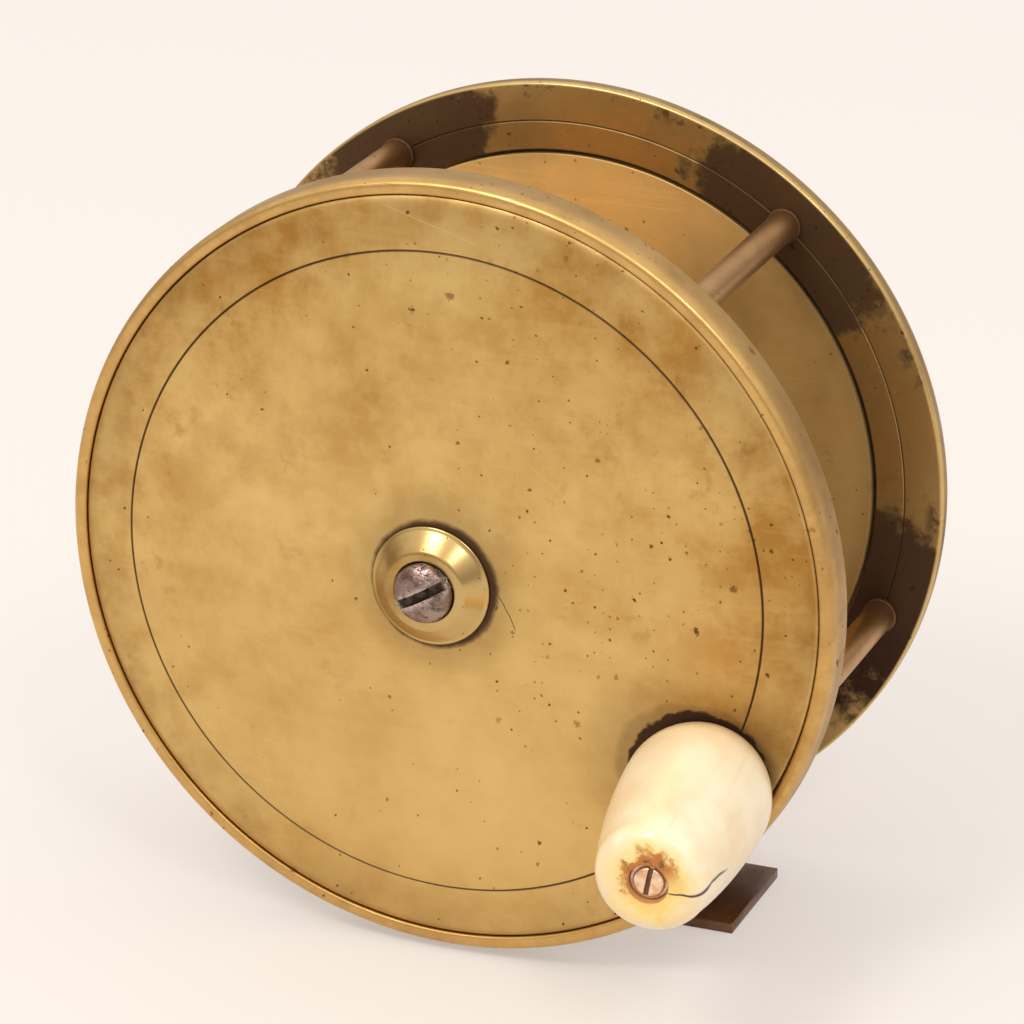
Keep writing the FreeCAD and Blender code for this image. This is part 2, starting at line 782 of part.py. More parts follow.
def make_boss():
    """Polished conical boss that clamps the winding plate on the spindle's square."""
    body = new_body("spindle_boss")
    top = seat_front - sizes.boss_height
    floor = top + sizes.boss_recess_depth
    bore = sizes.boss_screw_radius + 2 * sizes.running_fit
    turn(body, [
        (seat_front, bore),
        (seat_front, sizes.boss_base_radius),
        (seat_front - 0.35, sizes.boss_base_radius),
        (top, sizes.boss_top_radius),
        (top, sizes.boss_recess_radius),
        (floor, sizes.boss_recess_radius),
        (floor, bore),
    ])
    body = new_body("boss_screw")
    head = sizes.boss_screw_head_radius
    rim = floor - sizes.boss_screw_head_length
    crown = sizes.boss_screw_crown
    crown_radius = (head * head + crown * crown) / (2 * crown)
    turn(body, [
        (floor, sizes.boss_screw_radius),
        (floor, head),
        (rim, head),
        (rim - crown, 0, crown_radius),
        (floor + sizes.boss_screw_length, 0),
        (floor + sizes.boss_screw_length, sizes.boss_screw_radius),
    ])
    slot_cut(body, rim - crown - 0.1, sizes.boss_slot_depth, sizes.boss_slot_width, head + 1)
    on_spool_axis(body, -sizes.boss_slot_angle)


def on_handle_axis(body):
    """Stand a piece drawn along the spool axis on the winding plate, leaning out with its face."""
    lean_axis = Vector(handle_z.value, 0, -handle_x.value)
    lean = Rotation(lean_axis, -sizes.handle_tilt.value)
    body.Placement = Placement(Vector(0, 0, 0), lean)
    bind(body, "Placement.Base.x", handle_x)
    bind(body, "Placement.Base.y", handle_face - foot_y)
    bind(body, "Placement.Base.z", handle_z + axis_height)


def make_handle():
    """Turned grip on a riveted pin, kept on by a washer and a slotted screw in its tip."""
    base = -(sizes.handle_collar_gap + sizes.handle_collar_length + sizes.running_fit)
    tip = base - sizes.grip_length
    recess = tip + sizes.tip_recess_depth
    pin_end = recess - sizes.grip_float
    tapped = sizes.tip_screw_radius + sizes.seat_fit

    body = new_body("handle_pin")
    collar = -sizes.handle_collar_gap
    rear = sizes.winding_plate_thickness + sizes.handle_collar_gap
    turn(body, [
        (rear + sizes.handle_rivet_head, 0),
        (rear + sizes.handle_rivet_head, sizes.handle_rivet_head_radius),
        (rear, sizes.handle_rivet_head_radius),
        (rear, sizes.handle_rivet_radius),
        (collar, sizes.handle_rivet_radius),
        (collar, sizes.handle_collar_radius),
        (collar - sizes.handle_collar_length, sizes.handle_collar_radius),
        (collar - sizes.handle_collar_length, sizes.handle_pin_radius),
        (pin_end, sizes.handle_pin_radius),
        (pin_end, tapped),
        (pin_end + sizes.tip_screw_length + 0.5, tapped),
        (pin_end + sizes.tip_screw_length + 0.5, 0),
    ])
    on_handle_axis(body)

    body = new_body("handle_grip")
    bore = sizes.handle_pin_radius + sizes.running_fit
    belly = base - sizes.grip_belly_at
    end = tip + sizes.grip_end_round
    swell = sizes.grip_belly_radius - sizes.grip_base_radius
    base_run = sizes.grip_belly_at - sizes.grip_base_round
    base_bend = (base_run * base_run + swell * swell) / (2 * swell)
    taper = sizes.grip_belly_radius - sizes.grip_end_radius
    run = belly - end
    bend = (run * run + taper * taper) / (2 * taper)
    turn(body, [
        (base, bore),
        (base, sizes.grip_base_radius - sizes.grip_base_round),
        (base - sizes.grip_base_round, sizes.grip_base_radius, sizes.grip_base_round),
        (belly, sizes.grip_belly_radius, base_bend),
        (end, sizes.grip_end_radius, bend),
        (tip, sizes.grip_end_radius - sizes.grip_end_round, sizes.grip_end_round),
        (tip, sizes.tip_recess_radius),
        (recess, sizes.tip_recess_radius),
        (recess, bore),
    ])
    on_handle_axis(body)

    body = new_body("handle_washer")
    washer = pin_end - sizes.tip_washer_thickness
    turn(body, [
        (pin_end, tapped), (pin_end, sizes.tip_washer_radius),
        (washer, sizes.tip_washer_radius), (washer, tapped),
    ])
    on_handle_axis(body)

    body = new_body("handle_screw")
    head = sizes.tip_screw_head_radius
    top = washer - sizes.tip_screw_head_length
    turn(body, [
        (washer, sizes.tip_screw_radius),
        (washer, head),
        (top + 0.3, head),
        (top, head - 0.5, sizes.tip_screw_head_radius),
        (top, 0),
        (pin_end + sizes.tip_screw_length, 0),
        (pin_end + sizes.tip_screw_length, sizes.tip_screw_radius),
    ])
    slot_cut(body, top - 0.1, sizes.screw_slot_depth + 0.1, sizes.screw_slot_width, head + 1)
    on_handle_axis(body)


# ---------------------------------------------------------------------------------------------
# Check work in its housing behind the back plate
# ---------------------------------------------------------------------------------------------
def cover_screw_places():
    circle = sizes.housing_radius - sizes.housing_wall / 2
    return [polar(circle, as_size(60 + 120 * k)) for k in range(3)]


def make_check_housing():
    """Raised ring on the back plate and the cover that three screws hold on it."""
    body = new_body("check_housing")
    inner = sizes.housing_radius - sizes.housing_wall
    turn(body, [
        (back_outer, inner), (housing_end, inner),
        (housing_end, sizes.housing_radius), (back_outer, sizes.housing_radius),
    ])

    def draw_taps(sketch):
        for x, z in cover_screw_places():
            draw_circle(sketch, x, z, sizes.cover_screw_radius + sizes.seat_fit)
    cut_at(body, "taps", housing_end - sizes.cover_screw_length, sizes.cover_screw_length + 1, draw_taps)

    body = new_body("check_cover")
    outer = housing_end + sizes.cover_thickness
    edge = sizes.cover_thickness / 2
    turn(body, [
        (housing_end, 0), (outer, 0),
        (outer, sizes.housing_radius - edge),
        (outer - edge, sizes.housing_radius, edge),
        (housing_end, sizes.housing_radius),
    ])
    cut_at(body, "holes", housing_end - 1, sizes.cover_thickness + 2, draw_taps)

    body = new_body("cover_screw")
    head = sizes.cover_screw_head_radius
    top = outer + sizes.cover_screw_head
    crown = (head * head + sizes.cover_screw_head * sizes.cover_screw_head) / (2 * sizes.cover_screw_head)
    turn(body, [
        (outer, sizes.cover_screw_radius),
        (outer, head),
        (top, 0, -crown),
        (outer - sizes.cover_screw_length, 0),
        (outer - sizes.cover_screw_length, sizes.cover_screw_radius),
    ])
    sketch = at_depth(body, "slot_sketch", top + 0.1)
    width = sizes.screw_slot_width / 2
    draw_outline(sketch, rectangle(-head - 1, head + 1, -width, width))
    cut(body, sketch, sizes.screw_slot_depth, "slot")
    places = [spool_place(x, z, 15 + 70 * k) for k, (x, z) in enumerate(cover_screw_places())]
    group("check_cover_screws", body, places)


def make_ratchet():
    """Toothed wheel pinned to the spindle's rear end; the notches are cut from a plain disc."""
    body = new_body("ratchet_wheel")
    pad_at(body, "disc", ratchet_front, sizes.ratchet_thickness,
           lambda sketch: draw_circle(sketch, 0, 0, sizes.ratchet_radius))
    pad_at(body, "hub", ratchet_front, hub_rear - ratchet_front,
           lambda sketch: draw_circle(sketch, 0, 0, sizes.ratchet_hub_radius))
    bore = sizes.ratchet_seat_radius + sizes.seat_fit
    cut_at(body, "bore", ratchet_front - 1, hub_rear - ratchet_front + 2,
           lambda sketch: draw_circle(sketch, 0, 0, bore))
    valley = sizes.ratchet_radius - sizes.ratchet_tooth_height
    mouth = notch_half_width(sizes.ratchet_radius + 0.3)
    foot = notch_half_width(valley)
    notch = cut_at(body, "notch", ratchet_front - 1, sizes.ratchet_thickness + 2,
                   lambda sketch: draw_outline(sketch, [
                       (-foot, valley), (foot, valley),
                       (mouth, sizes.ratchet_radius + 0.3), (-mouth, sizes.ratchet_radius + 0.3),
                   ]))
    teeth = body.newObject("PartDesign::PolarPattern", "teeth")
    teeth.Originals = [notch]
    teeth.Axis = (origin_feature(body, "Y_Axis"), [""])
    teeth.Angle = 360
    teeth.Occurrences = int(DIMENSIONS["ratchet_teeth"])
    bind(teeth, "Occurrences", sizes.ratchet_teeth)
    body.Tip = teeth
    doc.recompute()
    sketch = new_sketch(body, "pin_sketch", "XY_Plane", -sizes.ratchet_hub_radius - 1)
    draw_circle(sketch, 0, pin_depth, sizes.ratchet_pin_radius + sizes.seat_fit)
    cut(body, sketch, 2 * sizes.ratchet_hub_radius + 2, "pin_hole")

    pin = doc.addObject("Part::Cylinder", "ratchet_pin")
    pin.Label = "ratchet_pin"
    bind(pin, "Radius", sizes.ratchet_pin_radius)
    bind(pin, "Height", 2 * sizes.ratchet_hub_radius - 0.4)
    bind(pin, "Placement.Base.y", pin_depth - foot_y)
    bind(pin, "Placement.Base.z", axis_height - sizes.ratchet_hub_radius + 0.2)
    subparts.append(pin)


def notch_half_width(radius):
    """Half width of a tooth space at a radius: narrow at its foot, open at the tips."""
    valley = sizes.ratchet_radius - sizes.ratchet_tooth_height
    pitch_half = sizes.ratchet_radius * 3.1416 / sizes.ratchet_teeth
    slope = (pitch_half * 0.85 - 0.25) / sizes.ratchet_tooth_height
    return 0.25 + (radius - valley) * slope


def make_pawl():
    """Spring-loaded click: an arm on a post, its tooth standing in a space of the ratchet."""
    post = new_body("pawl_post")
    top = ratchet_rear + sizes.pawl_post_head
    turn(post, [
        (back_recess_face, 0),
        (back_recess_face, sizes.pawl_post_radius),
        (ratchet_rear, sizes.pawl_post_radius),
        (ratchet_rear, sizes.pawl_post_head_radius),
        (top, sizes.pawl_post_head_radius),
        (top, 0),
    ])
    bind(post, "Placement.Base.x", sizes.pawl_pivot_x)
    bind(post, "Placement.Base.z", sizes.pawl_pivot_z + axis_height)

    body = new_body("check_pawl")
    x, z, hub = sizes.pawl_pivot_x, sizes.pawl_pivot_z, sizes.pawl_hub_radius
    valley = sizes.ratchet_radius - sizes.ratchet_tooth_height
    point = valley + sizes.tooth_gap
    cheek = sizes.ratchet_radius + 0.35
    point_half = notch_half_width(point) - sizes.tooth_gap
    cheek_half = notch_half_width(cheek) - sizes.tooth_gap
    arm_top = cheek + 1.5
    start = ratchet_front + (sizes.ratchet_thickness - sizes.pawl_thickness) / 2
    pad_at(body, "hub", start, sizes.pawl_thickness, lambda sketch: draw_circle(sketch, x, z, hub))

    def draw_arm(sketch):
        draw_outline(sketch, [
            (x, z - hub * 0.6), (-cheek_half, cheek), (-point_half, point), (point_half, point),
            (cheek_half, cheek), (cheek_half + 0.6, arm_top), (x, z + hub * 0.7),
        ])
    pad_at(body, "arm", start, sizes.pawl_thickness, draw_arm)
    bore = sizes.pawl_post_radius + sizes.running_fit
    cut_at(body, "bore", start - 1, sizes.pawl_thickness + 2, lambda sketch: draw_circle(sketch, x, z, bore))


def make_check_spring():
    """Leaf spring with an eye at its screw, arching over the pawl's arm."""
    body = new_body("check_spring")
    eye_x, eye_z = sizes.spring_screw_x, sizes.spring_screw_z
    eye = sizes.spring_screw_radius + 1.0
    thick = sizes.spring_thickness
    free = sizes.ratchet_radius + 0.35 + 1.5 + sizes.pawl_lift + 0.5
    start = ratchet_front + (sizes.ratchet_thickness - sizes.pawl_thickness) / 2
    pad_at(body, "eye", start, sizes.pawl_thickness, lambda sketch: draw_circle(sketch, eye_x, eye_z, eye))
    arch = sizes.housing_radius

    def draw_leaf(sketch):
        draw_outline(sketch, [
            (eye_x - eye + 0.2, eye_z), (eye_x - eye + 0.2 + thick, eye_z),
            (2.0, free + thick + 0.8, 0.6 * arch), (-2.5, free + thick),
            (-2.5, free), (2.0, free + 0.8),
        ])
    pad_at(body, "leaf", start, sizes.pawl_thickness, draw_leaf)
    hole = sizes.spring_screw_radius + sizes.seat_fit
    cut_at(body, "hole", start - 1, sizes.pawl_thickness + 2,
           lambda sketch: draw_circle(sketch, eye_x, eye_z, hole))

    screw = new_body("spring_screw")
    rear = start + sizes.pawl_thickness
    head = sizes.spring_screw_head_radius
    turn(screw, [
        (back_recess_face, 0),
        (back_recess_face, sizes.spring_screw_radius),
        (rear, sizes.spring_screw_radius),
        (rear, head),
        (rear + 0.8, head),
        (rear + 0.8, 0),
    ])
    sketch = at_depth(screw, "slot_sketch", rear + 0.9)
    width = sizes.screw_slot_width / 2
    draw_outline(sketch, rectangle(-head - 1, head + 1, -width, width))
    cut(screw, sketch, 0.5, "slot")
    bind(screw, "Placement.Base.x", eye_x)
    bind(screw, "Placement.Base.z", eye_z + axis_height)


# ---------------------------------------------------------------------------------------------
# Build, check and write
# ---------------------------------------------------------------------------------------------
def check_and_export():
    doc.recompute()
    for item in doc.Objects:
        if "Invalid" in item.State or "Error" in item.State:
            raise RuntimeError(f"{item.Label} is in state {item.State}")
    for item in subparts:
        if item.Shape.isNull() or not item.Shape.isValid() or not item.Shape.Solids:
            raise RuntimeError(f"{item.Label} has no valid solid")
    os.makedirs("parts", exist_ok=True)
    for item in subparts:
        item.Shape.exportStep(f"parts/{item.Label}.step")
        print(f"{item.Label:22s} solids {len(item.Shape.Solids)}  volume {item.Shape.Volume:9.1f} mm3")


make_front_plate()
make_back_plate()
for pillar_number, pillar_angle in enumerate(pillar_angles, start=1):
    make_pillar(pillar_number, pillar_angle)
make_plate_screws()
make_foot_bridge()
make_foot_plate()
make_foot_screws()
make_bushes()
make_spindle()
make_drum()
make_winding_plate()
make_boss()
make_handle()
make_check_housing()
make_ratchet()
make_pawl()
make_check_spring()
check_and_export()
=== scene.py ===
# An old brass fly reel, built up piece by piece around its CAD frame, and the plain studio it stands in.
import math

import bmesh
import bpy
from mathutils import Matrix, Vector


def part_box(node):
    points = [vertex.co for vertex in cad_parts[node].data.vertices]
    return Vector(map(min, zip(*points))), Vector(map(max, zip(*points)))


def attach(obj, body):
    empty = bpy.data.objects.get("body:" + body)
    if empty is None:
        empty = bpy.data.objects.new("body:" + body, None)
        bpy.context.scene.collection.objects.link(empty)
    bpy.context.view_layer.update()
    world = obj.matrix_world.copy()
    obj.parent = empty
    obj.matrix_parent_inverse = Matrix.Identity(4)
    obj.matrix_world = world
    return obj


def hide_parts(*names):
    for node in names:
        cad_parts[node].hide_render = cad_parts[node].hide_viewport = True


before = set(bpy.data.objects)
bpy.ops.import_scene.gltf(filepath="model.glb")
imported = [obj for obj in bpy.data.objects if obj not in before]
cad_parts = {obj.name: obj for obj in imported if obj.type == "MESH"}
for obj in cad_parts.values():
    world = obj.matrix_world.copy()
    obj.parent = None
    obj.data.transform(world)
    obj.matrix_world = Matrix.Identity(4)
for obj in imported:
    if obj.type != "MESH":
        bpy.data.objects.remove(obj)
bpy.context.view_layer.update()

MM = 0.001


# Front plate. A cast and turned brass dish whose raised, rounded rim guards the winding plate's edge.
# Its bright rim is worn by handling; the floor behind the winding plate is never polished.


def add_node(tree, kind, inputs=None, **settings):
    """Add a node, set its properties, then link or fill its inputs by name or number."""
    node = tree.nodes.new(kind)
    for name, value in settings.items():
        setattr(node, name, value)
    for name, value in (inputs or {}).items():
        if isinstance(value, bpy.types.NodeSocket):
            tree.links.new(value, node.inputs[name])
        else:
            node.inputs[name].default_value = value
    return node


def made(tree, kind, inputs=None, **settings):
    """Add a node and give back its first output."""
    return add_node(tree, kind, inputs, **settings).outputs[0]


def maths(operation, *values):
    """A Math node in the tree that the first linked value belongs to."""
    tree = next(value.id_data for value in values if isinstance(value, bpy.types.NodeSocket))
    inputs = dict(enumerate((*values, 0.0, 0.0)[:3]))
    return made(tree, "ShaderNodeMath", inputs, operation=operation)


def chain(operation, values):
    """One two-way operation carried along any number of values, from the first to the last."""
    total = values[0]
    for value in values[1:]:
        total = maths(operation, total, value)
    return total


def plus(*values):
    return chain("ADD", values)


def minus(first, second):
    return maths("SUBTRACT", first, second)


def times(*values):
    return chain("MULTIPLY", values)


def most(*values):
    return chain("MAXIMUM", values)


def apart(value, middle):
    """How far a distance is from one in millimetres."""
    return maths("ABSOLUTE", minus(value, middle * MM))


def scaled(value, factor, offset):
    return maths("MULTIPLY_ADD", value, factor, offset)


def ramp(value, low, high, bottom=0.0, top=1.0):
    """Smooth ramp of a value from low to high, giving bottom to top."""
    node = add_node(value.id_data, "ShaderNodeMapRange",
                    {"Value": value, "From Min": low, "From Max": high, "To Min": bottom, "To Max": top},
                    interpolation_type="SMOOTHSTEP")
    return node.outputs["Result"]


def mm_ramp(value, low, high, bottom=0.0, top=1.0):
    """The same ramp of a distance, from low to high in millimetres."""
    return ramp(value, low * MM, high * MM, bottom, top)


def mix(amount, *colours):
    """Two colours mixed; a bare colour is given as its red, green and blue."""
    first, second = ((*colour, 1.0) if isinstance(colour, tuple) else colour for colour in colours)
    node = add_node(amount.id_data, "ShaderNodeMix", {0: amount, 6: first, 7: second}, data_type="RGBA")
    return node.outputs[2]


def parts_of(vector):
    """A vector's X, Y and Z."""
    return add_node(vector.id_data, "ShaderNodeSeparateXYZ", {0: vector}).outputs


def vector_maths(operation, first, second):
    return add_node(first.id_data, "ShaderNodeVectorMath", {0: first, 1: second}, operation=operation).outputs


def off_axis(place):
    """Distance from the Y axis."""
    flat = vector_maths("MULTIPLY", place, (1.0, 0.0, 1.0))[0]
    return add_node(place.id_data, "ShaderNodeVectorMath", {0: flat}, operation="LENGTH").outputs["Value"]


def spun(place, degrees, stretch=(1.0, 1.0, 1.0)):
    """Coordinates turned about the Y axis, and stretched."""
    spin = (0.0, math.radians(degrees), 0.0)
    return made(place.id_data, "ShaderNodeMapping", {"Vector": place, "Rotation": spin, "Scale": stretch})


def noise(place, scale, detail=4.0, roughness=0.55):
    node = add_node(place.id_data, "ShaderNodeTexNoise",
                    {"Vector": place, "Scale": scale, "Detail": detail, "Roughness": roughness})
    return node.outputs[0]


def object_place(tree):
    return add_node(tree, "ShaderNodeTexCoord").outputs["Object"]


def from_axis(tree):
    """Coordinates in metres measured from the spool's centre, and the distance from its axis."""
    back = tuple(-part for part in spool_centre)
    moved = made(tree, "ShaderNodeMapping", {"Vector": object_place(tree), "Location": back})
    return moved, off_axis(moved)


def make_old_brass_group():
    """Rubbed brass under a thin brown patina, with dark spots and crossing polish scratches."""
    group = bpy.data.node_groups.new("old_brass_surface", "ShaderNodeTree")
    kinds = {"Place": "Vector", "Brass": "Color", "Patina": "Color", "Colour": "Color"}
    # Besides real patina, wear and dirt, some materials feed painted shade into the patina amount and the
    # grime, and painted light into the wear.
    for way, names in (("INPUT", ("Place", "Brass", "Patina", "Patina Amount", "Spots", "Scratches", "Wear",
                                  "Grime", "Dullness")),
                       ("OUTPUT", ("Colour", "Roughness", "Metal", "Height"))):
        for name in names:
            kind = kinds.get(name, "Float")
            group.interface.new_socket(name, in_out=way, socket_type=f"NodeSocket{kind}")
    given = group.nodes.new("NodeGroupInput").outputs
    place = given["Place"]
    clouds = ramp(noise(place, 36.0, 4.0, 0.56), 0.27, 0.77)
    mottle = ramp(noise(place, 170.0, 7.0, 0.66), 0.34, 0.70)
    grain = noise(place, 1500.0, 3.0, 0.6)
    patina = times(plus(times(clouds, 0.62), times(mottle, 0.38)), given["Patina Amount"])
    colour = mix(patina, given["Brass"], given["Patina"])

    parts = parts_of(place)
    flat = made(group, "ShaderNodeCombineXYZ", {0: plus(parts[0], parts[1]), 1: plus(parts[2], parts[1])})
    ragged = scaled(noise(place, 2600.0, 3.0), 0.30, -0.15)
    layers = []
    crowd = times(ramp(noise(place, 55.0, 3.0), 0.42, 0.60, 0.25, 1.5), given["Spots"])
    for scale, likely, largest in ((190.0, 0.55, 0.055), (430.0, 0.75, 0.075), (1000.0, 0.75, 0.13)):
        cells = add_node(group, "ShaderNodeTexVoronoi", {"Vector": flat, "Scale": scale},
                         voronoi_dimensions="2D")
        chance = add_node(group, "ShaderNodeSeparateColor", {"Color": cells.outputs["Color"]}).outputs
        chosen = maths("LESS_THAN", chance[0], times(crowd, likely))
        size = scaled(chance[1], largest, 0.02)
        reach = plus(cells.outputs["Distance"], ragged)
        outer_edge = plus(size, 0.07)
        inner = ramp(reach, outer_edge, size)
        layers.append(times(inner, chosen, scaled(chance[2], 0.6, 0.4)))
    spots = most(*layers)

    layers = []
    for turn, scale in ((18.0, 420.0), (64.0, 360.0), (-37.0, 460.0), (-72.0, 390.0)):
        streak = noise(spun(place, turn, (0.035, 1.0, 1.6)), scale, 2.0, 0.5)
        layers.append(ramp(streak, 0.655, 0.70))
    scratches = times(most(*layers), given["Scratches"])

    colour = mix(times(scratches, 0.20), colour, given["Brass"])
    bright = add_node(group, "ShaderNodeHueSaturation",
                      {"Color": given["Brass"], "Saturation": 0.97, "Value": 1.14})
    worn_and_lit = times(given["Wear"], ramp(mottle, -0.2, 0.8, 1.0, 0.55))
    colour = mix(worn_and_lit, colour, bright.outputs[0])
    blots = ramp(noise(place, 240.0, 5.0, 0.62), 0.60, 0.72)
    blots = times(blots, times(given["Patina Amount"], 0.28))
    colour = mix(blots, colour, (0.30, 0.13, 0.035))
    colour = mix(times(spots, 0.86), colour, (0.115, 0.038, 0.010))
    colour = mix(given["Grime"], colour, (0.044, 0.017, 0.014))

    rough = plus(scaled(patina, 0.16, plus(given["Dullness"], 0.30)), times(grain, 0.06), times(spots, 0.25),
                 times(given["Grime"], 0.25))
    rough = minus(rough, times(worn_and_lit, 0.16))
    metal = scaled(given["Grime"], -0.06, 1.0)
    height = minus(plus(times(mottle, 0.35), times(grain, 0.12)), times(spots, 0.8))
    height = minus(height, times(scratches, 0.45))
    result = group.nodes.new("NodeGroupOutput")
    for socket, value in (("Colour", colour), ("Roughness", rough), ("Metal", metal), ("Height", height)):
        group.links.new(value, result.inputs[socket])
    return group


old_brass = make_old_brass_group()


def new_material(name):
    """A material with an empty Principled shader; gives back the material, its tree and the shader."""
    material = bpy.data.materials.new(name)
    material.use_nodes = True
    tree = material.node_tree
    return material, tree, tree.nodes["Principled BSDF"]


def finish_surface(shader, colour, roughness, metal, height, depth):
    """Feed the shader its colour, roughness, metal and a relief some millimetres deep."""
    tree = shader.id_data
    bump = add_node(tree, "ShaderNodeBump", {"Strength": 1.0, "Distance": depth * MM, "Height": height})
    for socket, value in (("Base Color", colour), ("Roughness", roughness), ("Metallic", metal),
                          ("Normal", bump.outputs[0])):
        if value:
            tree.links.new(value, shader.inputs[socket])


def brass_material(name, brass, patina, amount, spots, scratches=0.5, wear_and_light=0.0, grime_and_shade=0.0, dullness=0.0):
    """Old brass with its own colours; wear and grime are made by functions of the distance and depth."""
    material, tree, shader = new_material(name)
    place, radius = from_axis(tree)
    depth = parts_of(place)[1]
    skin = add_node(tree, "ShaderNodeGroup", node_tree=old_brass)
    tree.links.new(place, skin.inputs["Place"])
    skin.inputs["Brass"].default_value = (*brass, 1.0)
    skin.inputs["Patina"].default_value = (*patina, 1.0)
    for socket, value in (("Patina Amount", amount), ("Spots", spots), ("Scratches", scratches),
                          ("Wear", wear_and_light), ("Grime", grime_and_shade), ("Dullness", dullness)):
        if callable(value):
            value = value(place, radius, depth)
        if isinstance(value, bpy.types.NodeSocket):
            tree.links.new(value, skin.inputs[socket])
        else:
            skin.inputs[socket].default_value = value
    finish_surface(shader, *skin.outputs, depth=0.02)
    return material


def soften(corners, steps=5):
    """Polyline through (depth, radius, rounding) corners in millimetres, each eased by its rounding."""
    points = []
    for index, (depth, radius, *rounding) in enumerate(corners):
        corner = Vector((depth, radius))
        if not rounding:
            points.append(corner)
            continue
        before = Vector(corners[index - 1][:2]) - corner
        after = Vector(corners[(index + 1) % len(corners)][:2]) - corner
        start = corner + before.normalized() * min(rounding[0], before.length * 0.49)
        end = corner + after.normalized() * min(rounding[0], after.length * 0.49)
        for step in range(steps + 1):
            part = step / steps
            points.append(start * (1 - part) ** 2 + corner * 2 * part * (1 - part) + end * part ** 2)
    return points


def open_tree(name, sockets):
    """A new Geometry Nodes tree with the sockets it needs; gives back the tree and its inputs."""
    tree = bpy.data.node_groups.new(name, "GeometryNodeTree")
    for socket, kind in (("Geometry", "Geometry"), *sockets, ("Material", "Material")):
        tree.interface.new_socket(socket, in_out="INPUT", socket_type=f"NodeSocket{kind}")
    tree.interface.new_socket("Geometry", in_out="OUTPUT", socket_type="NodeSocketGeometry")
    return tree, tree.nodes.new("NodeGroupInput").outputs


def close_tree(tree, shape, material):
    """Make a tree's shape real, coat it and put it out."""
    real = made(tree, "GeometryNodeRealizeInstances", {"Geometry": shape})
    coated = add_node(tree, "GeometryNodeSetMaterial", {"Geometry": real, "Material": material})
    tree.links.new(coated.outputs[0], tree.nodes.new("NodeGroupOutput").inputs[0])


def on_circle(tree, radius, angle, along=0.0):
    """The point at a radius and an angle about the Y axis."""
    right, up = times(radius, maths("SINE", angle)), times(radius, maths("COSINE", angle))
    return made(tree, "ShaderNodeCombineXYZ", {0: right, 1: along, 2: up})


def make_lathe_tree():
    """Revolves a polyline of (depth, radius) points about the Y axis, closing its seam and poles."""
    tree, given = open_tree("turned_on_the_lathe", [("Steps Round", "Int")])
    count = add_node(tree, "GeometryNodeAttributeDomainSize", {0: given["Geometry"]}).outputs["Point Count"]
    columns = plus(given["Steps Round"], 1.0)
    grid = add_node(tree, "GeometryNodeMeshGrid", {"Vertices X": count, "Vertices Y": columns})
    index = made(tree, "GeometryNodeInputIndex")
    ring = maths("FLOOR", maths("DIVIDE", plus(index, 0.5), columns))
    step = minus(index, times(ring, columns))
    angle = times(maths("DIVIDE", step, given["Steps Round"]), math.tau)
    position = made(tree, "GeometryNodeInputPosition")
    sample = add_node(tree, "GeometryNodeSampleIndex", data_type="FLOAT_VECTOR")
    for value, socket in ((given["Geometry"], "Geometry"), (position, "Value"), (ring, "Index")):
        tree.links.new(value, sample.inputs[socket])
    profile = parts_of(sample.outputs[0])
    spot = on_circle(tree, profile[2], angle, profile[1])
    placed = add_node(tree, "GeometryNodeSetPosition", {"Geometry": grid.outputs["Mesh"], "Position": spot})
    merged = add_node(tree, "GeometryNodeMergeByDistance",
                      {"Geometry": placed.outputs[0], "Distance": 0.002 * MM})
    close_tree(tree, merged.outputs[0], given["Material"])
    return tree


lathe = make_lathe_tree()


def one_finish(mesh, material):
    mesh.materials.clear()
    mesh.materials.append(material)
    for face in mesh.polygons:
        face.material_index = 0


def keep_result(piece, material):
    """Put a piece's finished shape in place of its modifiers, all in one material."""
    bpy.context.view_layer.update()
    result = bpy.data.meshes.new_from_object(piece.evaluated_get(bpy.context.evaluated_depsgraph_get()))
    piece.modifiers.clear()
    piece.data = result
    one_finish(result, material)


def run_tree(piece, tree, values):
    """Run a Geometry Nodes tree on a piece, then keep its result as the piece's plain mesh."""
    modifier = piece.modifiers.new(tree.name, "NODES")
    modifier.node_group = tree
    names = {item.name: item.identifier for item in tree.interface.items_tree if item.in_out == "INPUT"}
    for name, value in values.items():
        modifier[names[name]] = value
    piece.update_tag()
    keep_result(piece, values["Material"])
    piece.data.name = piece.name
    return piece


def smooth(mesh, sharp):
    mesh.shade_smooth()
    mesh.set_sharp_from_angle(angle=math.radians(sharp))


def new_piece(name, mesh):
    piece = bpy.data.objects.new(name, mesh)
    bpy.context.scene.collection.objects.link(piece)
    return piece


def face_outward(mesh, sharp=35.0):
    """Turn every face outward and shade smooth except across sharp edges."""
    work = bmesh.new()
    work.from_mesh(mesh)
    bmesh.ops.recalc_face_normals(work, faces=work.faces)
    work.to_mesh(mesh)
    work.free()
    smooth(mesh, sharp)


def turn_piece(name, corners, material, steps, place=None, sharp=35.0):
    """Turned piece from a millimetre outline, which is closed unless it starts on the axis."""
    points = soften(corners)
    if corners[0][1] > 0.0:
        points.append(points[0].copy())
    mesh = bpy.data.meshes.new(name)
    edges = [(number, number + 1) for number in range(len(points) - 1)]
    mesh.from_pydata([(0.0, point.x * MM, point.y * MM) for point in points], edges, [])
    piece = run_tree(new_piece(name, mesh), lathe, {"Steps Round": steps, "Material": material})
    piece.data.transform(place if place is not None else spool_place)
    face_outward(piece.data, sharp)
    return piece


plate_low, plate_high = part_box("front_plate")
plate_radius = (plate_high.x - plate_low.x) / 2 / MM
rim_proud = 0.3
spool_centre = Vector((0.0, plate_low.y + rim_proud * MM, (plate_low.z + plate_high.z) / 2))
spool_place = Matrix.Translation(spool_centre)
unplaced = Matrix.Identity(4)
front_crest = -rim_proud
front_inner = (plate_high.y - spool_centre.y) / MM
front_floor = front_inner - 2.8
rim_inner_radius = plate_radius - 1.9
rim_round = 1.5
recess_radius = 41.9
recess_depth = 1.6
bush_hole = 4.5

brass_colour = (0.64, 0.395, 0.133)
brass_patina = (0.40, 0.225, 0.070)


